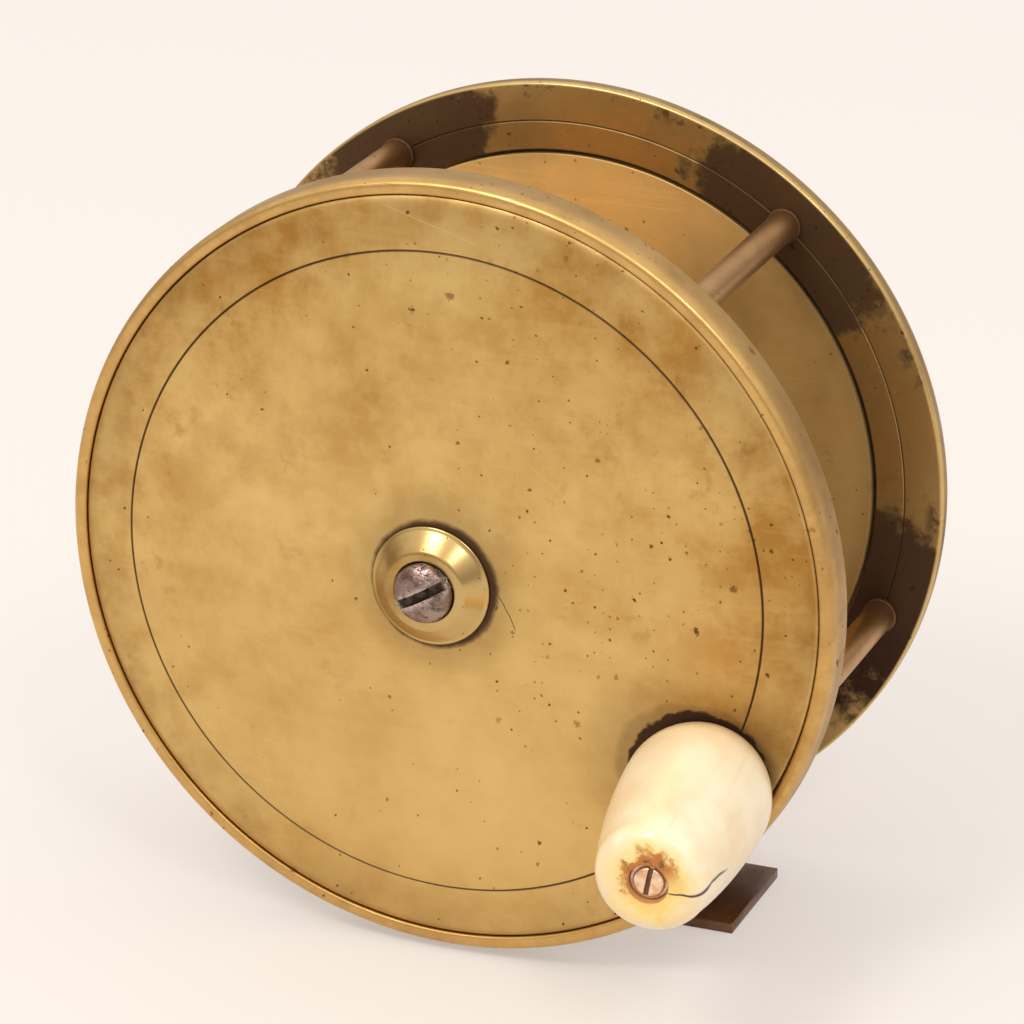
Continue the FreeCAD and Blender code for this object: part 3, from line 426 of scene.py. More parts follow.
def rim_wear(place, radius, depth):
    """Bright where hands rub: the crest of the rim and its outer corner."""
    crest = mm_ramp(depth, 1.6, -0.1)
    outer = mm_ramp(radius, rim_inner_radius + 0.1, rim_inner_radius + 0.5)
    rubbed = ramp(noise(place, 260.0, 6.0, 0.65), 0.34, 0.60, 0.12, 0.58)
    return times(crest, outer, rubbed)


def rim_shade_and_tone(place, radius, depth):
    """Painted shade, black in the gap round the winding plate and fading out low on the left; brown on the
    side; darker in the recess behind.
    """
    across = vector_maths("DOT_PRODUCT", place, (0.94, 0.0, 0.34))["Value"]
    # Painted shade in the gap between the rim and the winding plate, faded out low on the left.
    gap = times(mm_ramp(radius, rim_inner_radius + 0.10, rim_inner_radius - 0.02),
                mm_ramp(depth, rim_round * 0.5, front_crest + 0.3, 1.0, 0.4),
                mm_ramp(depth, front_floor + 0.6, front_floor + 0.2),
                mm_ramp(across, -36.0, -20.0, 0.08, 1.0))
    side = times(mm_ramp(depth, 0.7, 3.2, 0.0, 0.25), ramp(noise(place, 210.0, 5.0), 0.30, 0.65, 0.55, 1.0))
    # Darker in the recess behind, where the front flange sits.
    recess = times(mm_ramp(radius, recess_radius + 0.3, recess_radius - 0.05, 0.0, 0.75),
                   mm_ramp(depth, front_inner - 1.9, front_inner - 1.5))
    return most(gap, side, recess)


front_brass = brass_material("front_plate_brass", brass_colour, brass_patina, 0.85, spots=0.07,
                             scratches=1.0, wear_and_light=rim_wear, grime_and_shade=rim_shade_and_tone)
front_plate = turn_piece("front_plate_turned", [
    (front_floor, bush_hole),
    (front_floor, rim_inner_radius, 0.2),
    (front_crest, rim_inner_radius, 0.4),
    (front_crest, plate_radius, rim_round),
    (front_inner, plate_radius, 0.3),
    (front_inner, recess_radius, 0.1),
    (front_inner - recess_depth, recess_radius),
    (front_inner - recess_depth, bush_hole),
], front_brass, steps=288)
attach(front_plate, "frame")
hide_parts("front_plate")


# Pillars. Four turned brass pillars, riveted in the front plate and screwed from behind, with a
# small shoulder at the back. Fingers never reach them, so they have toned to a reddish brown.


def make_ring_tree():
    """Stands copies of a piece round a circle about Y, each with its own seeded twist about itself."""
    tree, given = open_tree("set_round_a_circle",
                            [("Count", "Int"), ("First Angle", "Float"), ("Step Angle", "Float"),
                             ("Circle Radius", "Float"), ("Seed", "Int")])
    index = made(tree, "GeometryNodeInputIndex")
    angle = maths("RADIANS", plus(times(index, given["Step Angle"]), given["First Angle"]))
    spot = on_circle(tree, given["Circle Radius"], angle)
    points = made(tree, "GeometryNodePoints", {"Count": given["Count"], "Position": spot})
    twist = add_node(tree, "FunctionNodeRandomValue", {2: 0.0, 3: math.pi, "Seed": given["Seed"]},
                     data_type="FLOAT")
    spin = made(tree, "ShaderNodeCombineXYZ", {1: twist.outputs[1]})
    copies = add_node(tree, "GeometryNodeInstanceOnPoints",
                      {"Points": points, "Instance": given["Geometry"], "Rotation": spin})
    close_tree(tree, copies.outputs[0], given["Material"])
    return tree


ring = make_ring_tree()


def set_round(piece, material, count, first, step, circle, seed=1):
    """Repeat a piece drawn about the Y axis round a circle about the spool axis."""
    values = {"Count": count, "First Angle": first, "Step Angle": step, "Circle Radius": circle * MM,
              "Seed": seed, "Material": material}
    run_tree(piece, ring, values)
    piece.data.transform(spool_place)
    face_outward(piece.data)
    return piece


back_low, back_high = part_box("back_plate")
back_inner = (back_low.y - spool_centre.y) / MM
back_outer = (back_high.y - spool_centre.y) / MM
pillar_circle = 45.7
pillar_radius = 2.0
shoulder_radius = pillar_radius + 0.3
pillar_first_angle = -103.0
pillar_step_angle = 71.0
pillar_set = (4, pillar_first_angle, pillar_step_angle, pillar_circle)


def pillar_tarnish_and_shade(place, radius, depth):
    """Darker toward both ends, with tarnish where polish never reaches the corners and painted shade by the
    plates.
    """
    front = mm_ramp(depth, front_inner + 9.0, front_inner + 1.0, 0.0, 0.5)
    back = mm_ramp(depth, back_inner - 8.0, back_inner - 0.5, 0.0, 0.50)
    # Painted shade over the back shoulder, where the pillar meets the back plate.
    shoulder = mm_ramp(depth, back_inner - 1.4, back_inner - 0.9, 0.0, 0.72)
    ragged = ramp(noise(place, 330.0, 5.0), 0.3, 0.7, 0.45, 1.0)
    return most(times(most(front, back), ragged), shoulder)


pillar_brass = brass_material("pillar_brass", (0.52, 0.30, 0.125), (0.27, 0.12, 0.04), 0.8, spots=0.05,
                              grime_and_shade=pillar_tarnish_and_shade)
pillars = turn_piece("pillars_turned", [
    (front_inner, 0.0),
    (front_inner, pillar_radius),
    (back_inner - 0.75, pillar_radius),
    (back_inner - 0.7, shoulder_radius, 0.1),
    (back_inner, shoulder_radius),
    (back_inner, 0.0),
], pillar_brass, steps=40, place=unplaced)
set_round(pillars, pillar_brass, *pillar_set)
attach(pillars, "frame")
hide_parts("pillar_1", "pillar_2", "pillar_3", "pillar_4")


# Back plate. A plain turned brass plate with a scribed circle for the pillars on its inner face and
# a recess that the drum's rear flange sinks into. Its edge is rubbed bright, its inner face is brown.
scribe_half = 0.16
scribe_depth = 0.16
back_rear_round = 1.2


pillar_angles = [math.radians(pillar_first_angle + pillar_step_angle * number) for number in range(4)]
pillar_spots = [(pillar_circle * math.sin(angle), pillar_circle * math.cos(angle))
                for angle in pillar_angles]


def back_wear(place, radius, depth):
    """The rubbed inner corner of the edge, and a polished outer face."""
    edge = times(mm_ramp(radius, plate_radius - 0.32, plate_radius - 0.12),
                 mm_ramp(depth, back_inner + 0.8, back_inner + 0.3, 0.10, 1.0))
    face = mm_ramp(depth, back_outer - 1.4, back_outer - 0.2, 0.0, 0.25)
    return most(times(edge, 0.8), face)


def back_grime_and_shade(place, radius, depth):
    """Brown tone on the inner face with cleaner patches, black in the scribed line, painted shade low and in
    the recess.
    """
    inner_face = mm_ramp(depth, back_inner + 1.0, back_inner + 0.05)
    rubbed = mm_ramp(radius, plate_radius - 0.45, plate_radius - 0.15, 1.0, 0.15)
    cloud = noise(place, 62.0, 6.0, 0.62)
    outer_band = times(mm_ramp(radius, plate_radius - 3.4, plate_radius - 1.0),
                       ramp(noise(place, 120.0, 6.0, 0.66), 0.52, 0.60, 0.08, 0.8))
    damp = plus(scaled(cloud, 26.0 * MM, -13.0 * MM),
                scaled(noise(place, 240.0, 6.0, 0.66), 16.0 * MM, -8.0 * MM))
    tone = most(ramp(cloud, 0.36, 0.62, 0.0, 0.28), outer_band)
    for x, z in pillar_spots:
        near = vector_maths("DISTANCE", place, (x * MM, back_inner * MM, z * MM))["Value"]
        tone = most(tone, mm_ramp(plus(near, damp), 17.0, 12.0, 0.0, 0.87))
    # Painted shade: the inner face darker toward the bottom.
    tone = plus(tone, mm_ramp(parts_of(place)[2], 2.0, -28.0, 0.0, 0.10))
    tone = times(tone, inner_face, rubbed)
    line = times(mm_ramp(apart(radius, pillar_circle), 0.16, 0.05, 0.0, 0.8), inner_face)
    # Painted shade: black in the recess, the gap round the drum's rear flange.
    recess = times(mm_ramp(radius, recess_radius + 0.3, recess_radius - 0.05, 0.0, 0.9), inner_face)
    side = times(mm_ramp(depth, back_inner + 0.5, back_inner + 1.1),
                 mm_ramp(depth, back_outer - 0.7, back_outer - 1.2), ramp(cloud, 0.36, 0.62, 0.30, 0.55))
    return most(tone, side, line, recess)


back_brass = brass_material("back_plate_brass", (0.66, 0.46, 0.18), brass_patina, 0.8, spots=0.12,
                            wear_and_light=back_wear, grime_and_shade=back_grime_and_shade)
rear_bush_hole = 3.5
back_plate = turn_piece("back_plate_turned", [
    (back_inner + recess_depth, rear_bush_hole),
    (back_inner + recess_depth, recess_radius),
    (back_inner, recess_radius, 0.12),
    (back_inner, pillar_circle - scribe_half),
    (back_inner + scribe_depth, pillar_circle),
    (back_inner, pillar_circle + scribe_half),
    (back_inner, plate_radius, 0.5),
    (back_outer, plate_radius, back_rear_round),
    (back_outer, rear_bush_hole),
], back_brass, steps=288)
screw_head_radius = 2.2
screw_shank_radius = 1.1
screw_length = 11.0
bridge_screw_offset = 4.0
bridge_screw_angle = math.degrees(math.atan2(bridge_screw_offset, pillar_circle))
bridge_screw_circle = math.hypot(bridge_screw_offset, pillar_circle)
bridge_set = (2, 180.0 - bridge_screw_angle, 2 * bridge_screw_angle, bridge_screw_circle)


def cut_away(piece, cutter, sharp=35.0):
    """Cut one closed piece out of another, keep the result as a plain mesh and drop the cutter."""
    modifier = piece.modifiers.new("cut", "BOOLEAN")
    modifier.operation = "DIFFERENCE"
    modifier.solver = "EXACT"
    modifier.object = cutter
    keep_result(piece, piece.data.materials[0])
    bpy.data.objects.remove(cutter)
    smooth(piece.data, sharp)


for name, places in (("pillar_screw_seats", pillar_set), ("bridge_screw_seats", bridge_set)):
    cones = turn_piece(name, [
        (back_outer - screw_head_radius - 0.1, 0.0),
        (back_outer - screw_head_radius - 0.1, 0.05),
        (back_outer + 0.1, screw_head_radius + 0.15),
        (back_outer + 0.1, 0.0),
    ], back_brass, steps=32, place=unplaced)
    cut_away(back_plate, set_round(cones, back_brass, *places))
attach(back_plate, "frame")
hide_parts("back_plate")


# Plate screws. Six slotted, countersunk steel screws hold the back plate to the four pillars and to
# the bridge bar. Their heads sit flush, blued brown with age, each slot stopped wherever it tightened.


def steel_material(name, steel, rust, pits=0.5, rough=0.34, relief=0.06, pit_scale=1500.0, slot=None):
    """Old grey steel with a purplish brown bloom and pitting; a slot gets rubbed lips and painted shade
    inside it.
    """
    material, tree, shader = new_material(name)
    place = object_place(tree)
    bloom = ramp(noise(place, 420.0, 6.0, 0.65), 0.36, 0.66)
    pitting = times(ramp(noise(place, pit_scale, 4.0, 0.7), 0.54, 0.68), pits)
    colour = mix(times(pitting, 0.7), mix(bloom, steel, rust), (0.025, 0.014, 0.012))
    if slot:
        crown_tip, bend, turn = slot
        moved, radius = from_axis(tree)
        parts = parts_of(spun(moved, turn))
        lips = times(mm_ramp(maths("ABSOLUTE", parts[2]), 1.5, 0.6, 0.0, 0.8),
                     ramp(noise(place, 1300.0, 4.0), 0.42, 0.56))
        colour = mix(lips, colour, (0.62, 0.50, 0.46))
        # Painted shade in the slot: below the crown's surface it is darkened.
        crown = scaled(maths("POWER", radius, 2.0), 0.5 / (bend * MM), crown_tip * MM)
        darkening = times(mm_ramp(minus(parts[1], crown), 0.10, 0.65, 0.0, 0.90), mm_ramp(radius, 3.79, 3.70))
        colour = mix(darkening, colour, (0.024, 0.013, 0.009))
    roughness = scaled(pitting, 0.2, scaled(bloom, 0.14, rough))
    finish_surface(shader, colour, roughness, scaled(pitting, -0.4, 0.95),
                   minus(times(bloom, 0.35), pitting), relief)
    return material


def slot_across(piece, name, width, top, bottom, reach, turn=0.0):
    """Cut a straight driver slot between two depths across a piece drawn about the Y axis."""
    bar = bmesh.new()
    bmesh.ops.create_cube(bar, size=1.0)
    size = Matrix.Diagonal((2 * reach * MM, abs(bottom - top) * MM, width * MM, 1.0))
    middle = Matrix.Translation((0.0, (top + bottom) / 2 * MM, 0.0))
    turning = Matrix.Rotation(math.radians(turn), 4, "Y")
    bmesh.ops.transform(bar, matrix=turning @ middle @ size, verts=bar.verts)
    mesh = bpy.data.meshes.new(name)
    bar.to_mesh(mesh)
    bar.free()
    cut_away(piece, new_piece(name, mesh))


blued_steel = steel_material("blued_screw_steel", (0.34, 0.27, 0.23), (0.16, 0.095, 0.065), pits=0.35)


for name, places, seed in (("pillar_screws", pillar_set, 3), ("bridge_screws", bridge_set, 8)):
    screws = turn_piece(f"{name}_turned", [
        (back_outer - screw_length, 0.0),
        (back_outer - screw_length, screw_shank_radius),
        (back_outer - 1.1, screw_shank_radius),
        (back_outer - 0.12, screw_head_radius, 0.1),
        (back_outer, screw_head_radius - 0.12),
        (back_outer, 0.0),
    ], blued_steel, steps=40, place=unplaced)
    slot_across(screws, f"{name}_turned_slot", 0.7, back_outer + 0.5, back_outer - 0.6, 3.0)
    set_round(screws, blued_steel, *places, seed=seed)
    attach(screws, "frame")
    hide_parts(name)


# Foot and bridge. A brass bar stands between the plates at the bottom, and the filed brass foot that
# fits the rod's seat is screwed up into it. Both are dark brown, with the foot's edges rubbed lighter.


def eased_copy(node, name, material, bevel, sharp=30.0):
    """Copy of a CAD node's shape with its loose faces joined and its edges eased like a filed piece."""
    work = bmesh.new()
    work.from_mesh(bpy.data.objects[node].data)
    bmesh.ops.remove_doubles(work, verts=work.verts, dist=0.001 * MM)
    bmesh.ops.dissolve_limit(work, angle_limit=math.radians(1.0), verts=work.verts, edges=work.edges)
    mesh = bpy.data.meshes.new(name)
    work.to_mesh(mesh)
    work.free()
    mesh.materials.append(material)
    piece = new_piece(name, mesh)
    easing = piece.modifiers.new("eased_edges", "BEVEL")
    easing.width = bevel * MM
    easing.segments = 2
    easing.limit_method = "ANGLE"
    easing.angle_limit = math.radians(sharp)
    keep_result(piece, material)
    smooth(piece.data, 40.0)
    return piece


foot_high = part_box("foot_plate")[1]


def foot_wear(place, radius, depth):
    """Lighter along the foot's ends and long edges, where it slides in and out of its seat."""
    parts = parts_of(place)
    across = maths("ABSOLUTE", minus(parts[1], -spool_centre.y))
    ends = ramp(maths("ABSOLUTE", parts[0]), foot_high.x - 1.4 * MM, foot_high.x - 0.1 * MM)
    sides = ramp(across, foot_high.y - 1.1 * MM, foot_high.y - 0.1 * MM)
    return times(most(ends, sides), 0.75)


def foot_grime(place, radius, depth):
    return ramp(noise(place, 90.0, 5.0), 0.32, 0.62, 0.30, 0.66)


foot_brass = brass_material("foot_brass", (0.34, 0.19, 0.10), (0.13, 0.058, 0.028), 0.9, spots=0.12,
                            scratches=0.15, wear_and_light=foot_wear, grime_and_shade=foot_grime, dullness=-0.12)
for node, bevel in (("foot_plate", 0.40), ("foot_bridge", 0.2)):
    filed = eased_copy(node, f"{node}_filed", foot_brass, bevel)
    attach(filed, "frame")
    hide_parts(node)


def coat(node, material):
    """Give a CAD node's own faces a finish."""
    for slot in bpy.data.objects[node].material_slots:
        slot.material = material


coat("foot_screws", blued_steel)


# Bearing bushes. Small turned brass bushes pressed in the two plates; only their oiled bores work.
bush_brass = brass_material("bush_brass", (0.66, 0.44, 0.16), (0.42, 0.24, 0.08), 0.45, spots=0.04,
                            grime_and_shade=0.12)
coat("front_bush", bush_brass)
coat("rear_bush", bush_brass)


# Line drum. A brass tube between two thin turned flanges, all on the steel spindle. Painted light makes the
# flange faces lighter than the plates, though they sit in shade, with brown left in clouds near the edge.
flange_radius = 41.4
flange_thickness = 1.3
core_radius = 11.0
core_wall = 1.4
flange_bore = 3.1
end_gap = 0.01


def flange_grime_and_shade(place, radius, depth):
    """Brown clouds, darker in the corner at the tube, painted shade over the lower part and a black outer
    edge of painted shade in the recess.
    """
    clouds = ramp(noise(place, 34.0, 4.0, 0.6), 0.50, 0.74, 0.0, 0.18)
    # Painted shade: the lower part of the flange darker.
    clouds = plus(clouds, mm_ramp(parts_of(spun(place, 30.0))[2], 31.0, 4.0, 0.0, 0.42))
    outer = mm_ramp(radius, flange_radius - 3.2, flange_radius, 0.0, 0.12)
    corner = mm_ramp(radius, core_radius + 2.4, core_radius, 0.0, 0.8)
    edge = mm_ramp(radius, flange_radius - 0.28, flange_radius - 0.12, 0.0, 0.2)
    return most(plus(clouds, outer, edge), corner)


def flange_wear_and_light(place, radius, depth):
    """A thin rubbed bright line round the flange's corner, and painted light over the upper part."""
    # The second ramp is painted light: the upper part of the flange lighter.
    return most(mm_ramp(apart(radius, flange_radius - 0.22), 0.22, 0.05, 0.0, 0.9),
                mm_ramp(parts_of(place)[2], 22.0, 40.0, 0.0, 0.6))


# The lighter brass is painted light for faces that sit in shade between the plates.
flange_brass = brass_material("flange_brass", (1.0, 0.69, 0.265), (0.80, 0.47, 0.125), 0.7, spots=0.05,
                              scratches=0.9, wear_and_light=flange_wear_and_light, grime_and_shade=flange_grime_and_shade, dullness=0.20)
for name, node, near, far in (
        ("front_flange_turned", "drum_front_flange", front_inner - flange_thickness, front_inner),
        ("rear_flange_turned", "drum_rear_flange", back_inner, back_inner + flange_thickness)):
    flange = turn_piece(name, [
        (near, flange_bore),
        (near, flange_radius, 0.2),
        (far, flange_radius, 0.2),
        (far, flange_bore),
    ], flange_brass, steps=240)
    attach(flange, "drum")
    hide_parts(node)

core = turn_piece("drum_core_turned", [
    (front_inner + end_gap, core_radius - core_wall),
    (front_inner + end_gap, core_radius),
    (back_inner - end_gap, core_radius),
    (back_inner - end_gap, core_radius - core_wall),
], flange_brass, steps=96)
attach(core, "drum")
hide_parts("drum_core")

spindle_steel = steel_material("spindle_steel", (0.52, 0.49, 0.46), (0.33, 0.27, 0.23), pits=0.3, rough=0.26)
coat("drum_spindle", spindle_steel)


# Winding plate. A hammered and turned brass dish, domed proud of its rim, that turns with the handle
# in place of a crank. One circle is scribed near its edge. It carries the warmest, most handled brass.
dome_height = 3.7
seat_radius = 8.2
plate_thickness = 1.8
winding_edge = rim_inner_radius - 0.14
scribed_circle = 42.1
dome_run = rim_inner_radius - 0.4 - seat_radius
dome_bend = (dome_run ** 2 + dome_height ** 2) / (2 * dome_height)


def dome_depth(radius):
    """Depth of the domed face at a distance from the axis, in millimetres."""
    return dome_bend - dome_height - math.sqrt(dome_bend ** 2 - max(radius - seat_radius, 0.0) ** 2)


handle_circle = 41.2
handle_angle = math.radians(121.0)
handle_x = handle_circle * math.sin(handle_angle)
handle_z = handle_circle * math.cos(handle_angle)
handle_foot = spool_centre + Vector((handle_x, dome_depth(handle_circle), handle_z)) * MM


def distance_from(place, x, z):
    """Distance in the plate's plane from a point given in millimetres from the axis."""
    return off_axis(vector_maths("SUBTRACT", place, (x * MM, 0.0, z * MM))[0])


def drawn_line(place, x, z, turn, length, width, waver=0.0):
    """Mask of one straight mark starting at a point and running up to the right by turn degrees."""
    laid = spun(vector_maths("SUBTRACT", place, (x * MM, 0.0, z * MM))[0], turn)
    parts = parts_of(laid)
    off = parts[2]
    if waver:
        off = plus(off, scaled(noise(laid, 260.0, 2.0), waver * MM, -0.5 * waver * MM))
    across = mm_ramp(maths("ABSOLUTE", off), width, width * 0.4)
    return times(across, times(mm_ramp(parts[0], 0.0, 0.6), mm_ramp(parts[0], length, length - 0.8)))


def blotch(place, x, z, ragged, swing, outer, inner, strength):
    """Stain round a point, fading from inner to outer millimetres with an edge as ragged as its swing."""
    reach = plus(distance_from(place, x, z), scaled(ragged, swing * MM, -0.5 * swing * MM))
    return mm_ramp(reach, outer, inner, 0.0, strength)


def winding_wear(place, radius, depth):
    """The turned edge, one long bright scratch near the top and a few short ones."""
    edge = mm_ramp(radius, winding_edge - 0.5, winding_edge - 0.15, 0.0, 0.55)
    long_scratch = drawn_line(place, -8.0, 47.3, -15.8, 13.6, 0.13)
    second = drawn_line(place, -26.0, -14.0, 52.0, 6.0, 0.05)
    third = drawn_line(place, 12.0, 18.0, -38.0, 7.5, 0.05)
    return most(edge, most(long_scratch, times(most(second, third), 0.4)))


def winding_grime(place, radius, depth):
    """Tarnish crowded round the boss and the grip, dirt in the scribed circle, brown toward the rim."""
    rag = noise(place, 520.0, 5.0, 0.6)
    blot = noise(place, 120.0, 4.0, 0.6)
    boss = blotch(place, 0.42, 0.16, rag, 0.9, 9.1, 7.9, 0.92)
    halo = blotch(place, 1.0, 0.6, blot, 6.0, 14.0, 8.0, 0.26)
    grip = blotch(place, handle_x - 1.1, handle_z + 0.25, rag, 1.8, 9.3, 8.6, 0.95)
    around_grip = handle_x - 1.4, handle_z + 0.5
    grip_halo = most(blotch(place, *around_grip, blot, 4.0, 17.0, 9.0, 0.22),
                     blotch(place, *around_grip, blot, 4.0, 11.2, 9.2, 0.40))
    circle = mm_ramp(apart(radius, scribed_circle), 0.22, 0.08, 0.0, 0.80)
    border = times(mm_ramp(radius, 38.0, 48.0, 0.0, 0.18), ramp(blot, 0.30, 0.62, 0.35, 1.0))
    hair = drawn_line(place, 8.8, 0.2, -62.0, 5.4, 0.08, waver=0.9)
    return most(most(boss, grip, most(circle, hair)), plus(halo, grip_halo, border))


def more_spots_right(place, radius, depth):
    """The damp spots are thicker on one half of the plate."""
    return mm_ramp(parts_of(place)[0], -22.0, 18.0, 0.012, 0.11)


def winding_patina_and_shade(place, radius, depth):
    """Patina with painted shade: more up and to the left and along the right side, where less light falls,
    and more toward the edge.
    """
    return plus(mm_ramp(parts_of(spun(place, 35.0))[2], -44.0, 44.0, 0.25, 1.05),
                mm_ramp(parts_of(place)[0], 2.0, 46.0, 0.0, 0.55), mm_ramp(radius, 34.0, 46.0, 0.0, 0.35))


winding_brass = brass_material("winding_plate_brass", (0.76, 0.525, 0.200), (0.465, 0.238, 0.052),
                               winding_patina_and_shade, spots=more_spots_right, scratches=0.55, wear_and_light=winding_wear,
                               grime_and_shade=winding_grime, dullness=0.03)
arc_steps = 40
arc_run = winding_edge - 0.15 - seat_radius
arc_radii = [seat_radius + arc_run * number / arc_steps for number in range(arc_steps + 1)]
groove_low = scribed_circle - scribe_half
groove_high = scribed_circle + scribe_half
front_arc = [(dome_depth(radius), radius) for radius in arc_radii if abs(radius - scribed_circle) > 0.25]
groove = [(dome_depth(groove_low), groove_low), (dome_depth(scribed_circle) + scribe_depth, scribed_circle),
          (dome_depth(groove_high), groove_high)]
front_arc = sorted(front_arc + groove, key=lambda point: point[1])
rear_radii = (winding_edge - 0.1, 44.0, 38.0, 30.0, 20.0, seat_radius)
rear_arc = [(dome_depth(radius) + plate_thickness, radius) for radius in rear_radii]
winding_plate = turn_piece("winding_plate_turned", [
    (-dome_height, 0.0), *front_arc, (0.15, winding_edge), (plate_thickness - 0.15, winding_edge),
    *rear_arc, (plate_thickness - dome_height, 0.0),
], winding_brass, steps=320)
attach(winding_plate, "drum")
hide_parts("winding_plate")


# Spindle boss. A turned yellow-brass cone, polished bright, that clamps the winding plate against the
# spindle. Its flat top is recessed for the screw's head.
boss_base = 7.75
boss_top = 5.0
boss_height = 2.5
boss_recess = 3.95
boss_recess_depth = 1.6
boss_bore = 1.5
boss_front = -dome_height - boss_height


def boss_grime_and_shade(place, radius, depth):
    """A dark line in the corner at the plate, and painted shade in the recess round the screw."""
    corner = mm_ramp(depth, -dome_height - 0.32, -dome_height - 0.05, 0.0, 0.75)
    # Painted shade in the recess round the screw's head.
    recess = mm_ramp(radius, boss_recess + 0.18, boss_recess, 0.0, 0.55)
    return most(corner, recess)


def boss_patina_and_shade(place, radius, depth):
    """Painted shade: one side of the cone darkened with patina, standing in for a dark reflection."""
    return mm_ramp(parts_of(spun(place, 60.0))[2], -4.0, 6.5, 0.3, 1.5)


boss_brass = brass_material("boss_polished_brass", (0.62, 0.435, 0.18), (0.36, 0.205, 0.06), boss_patina_and_shade,
                            spots=0.08, scratches=0.45, grime_and_shade=boss_grime_and_shade, dullness=-0.14)
boss = turn_piece("spindle_boss_turned", [
    (-dome_height, boss_bore),
    (-dome_height, boss_base),
    (-dome_height - 0.35, boss_base, 0.15),
    (-dome_height - 0.55, boss_base - 0.45, 0.2),
    (boss_front + 0.05, boss_top + 0.1, 0.35),
    (boss_front, boss_recess, 0.15),
    (boss_front + boss_recess_depth, boss_recess),
    (boss_front + boss_recess_depth, boss_bore),
], boss_brass, steps=160)
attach(boss, "drum")
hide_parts("spindle_boss")


# Boss screw. The large domed steel screw that holds boss and winding plate on. It is pitted and has
# gone purplish grey; its slot is burred at the mouth by many screwdrivers.
screw_rim = boss_front + boss_recess_depth - 3.3
screw_radius = 3.8
crown_tip = screw_rim - 0.5
crown_height = 1.4
crown_bend = (screw_radius ** 2 + crown_height ** 2) / (2 * crown_height)
slot_turn = -30.0
pitted_steel = steel_material("pitted_screw_steel", (0.36, 0.27, 0.235), (0.20, 0.12, 0.09), pits=0.85,
                              rough=0.17, relief=0.22, pit_scale=900.0,
                              slot=(crown_tip, crown_bend, -slot_turn))
crown_radii = [(screw_radius - 0.12) * (1 - number / 12) for number in range(13)]
crown = [(crown_tip + crown_bend - math.sqrt(crown_bend ** 2 - radius ** 2),
          radius) for radius in crown_radii]
boss_screw = turn_piece("boss_screw_turned", [
    (boss_front + 10.0, 0.0),
    (boss_front + 10.0, 1.4),
    (boss_front + boss_recess_depth, 1.4),
    (boss_front + boss_recess_depth, screw_radius),
    (crown_tip + crown_height + 0.1, screw_radius),
    *crown,
], pitted_steel, steps=96, place=unplaced)
slot_across(boss_screw, "boss_screw_slot", 1.2, screw_rim - 2.0, screw_rim + 0.9, 6.0, turn=slot_turn)
boss_screw.data.transform(spool_place)
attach(boss_screw, "drum")
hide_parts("boss_screw")


# Grip. A turned ivory-coloured grip that spins on a riveted pin. It is cream and glossy, yellower
# near its base, stained orange round the screw, with one dark drying crack across its end.
lean = math.radians(6.0)
outward = Vector((handle_x, 0.0, handle_z)).normalized()
handle_axis = Vector((0.0, -math.cos(lean), 0.0)) + outward * math.sin(lean)
handle_lean = Vector((0.0, -1.0, 0.0)).rotation_difference(handle_axis)
handle_place = Matrix.Translation(handle_foot) @ handle_lean.to_matrix().to_4x4()
grip_base = -0.55
grip_tip = grip_base - 27.2
recess_floor = grip_tip + 1.3
belly_at = grip_base - 4.5
belly_radius = 9.25
base_radius = 8.3
end_radius = 7.1
end_round = 2.8
pin_bore = 1.95
recess_wall = 2.45


def grip_place(tree):
    """Coordinates in metres measured along and across the grip's own leaning axis."""
    moved = vector_maths("SUBTRACT", object_place(tree), tuple(handle_foot))[0]
    back = tuple(handle_lean.inverted().to_euler())
    laid = made(tree, "ShaderNodeMapping", {"Vector": moved, "Rotation": back})
    return laid, off_axis(laid)


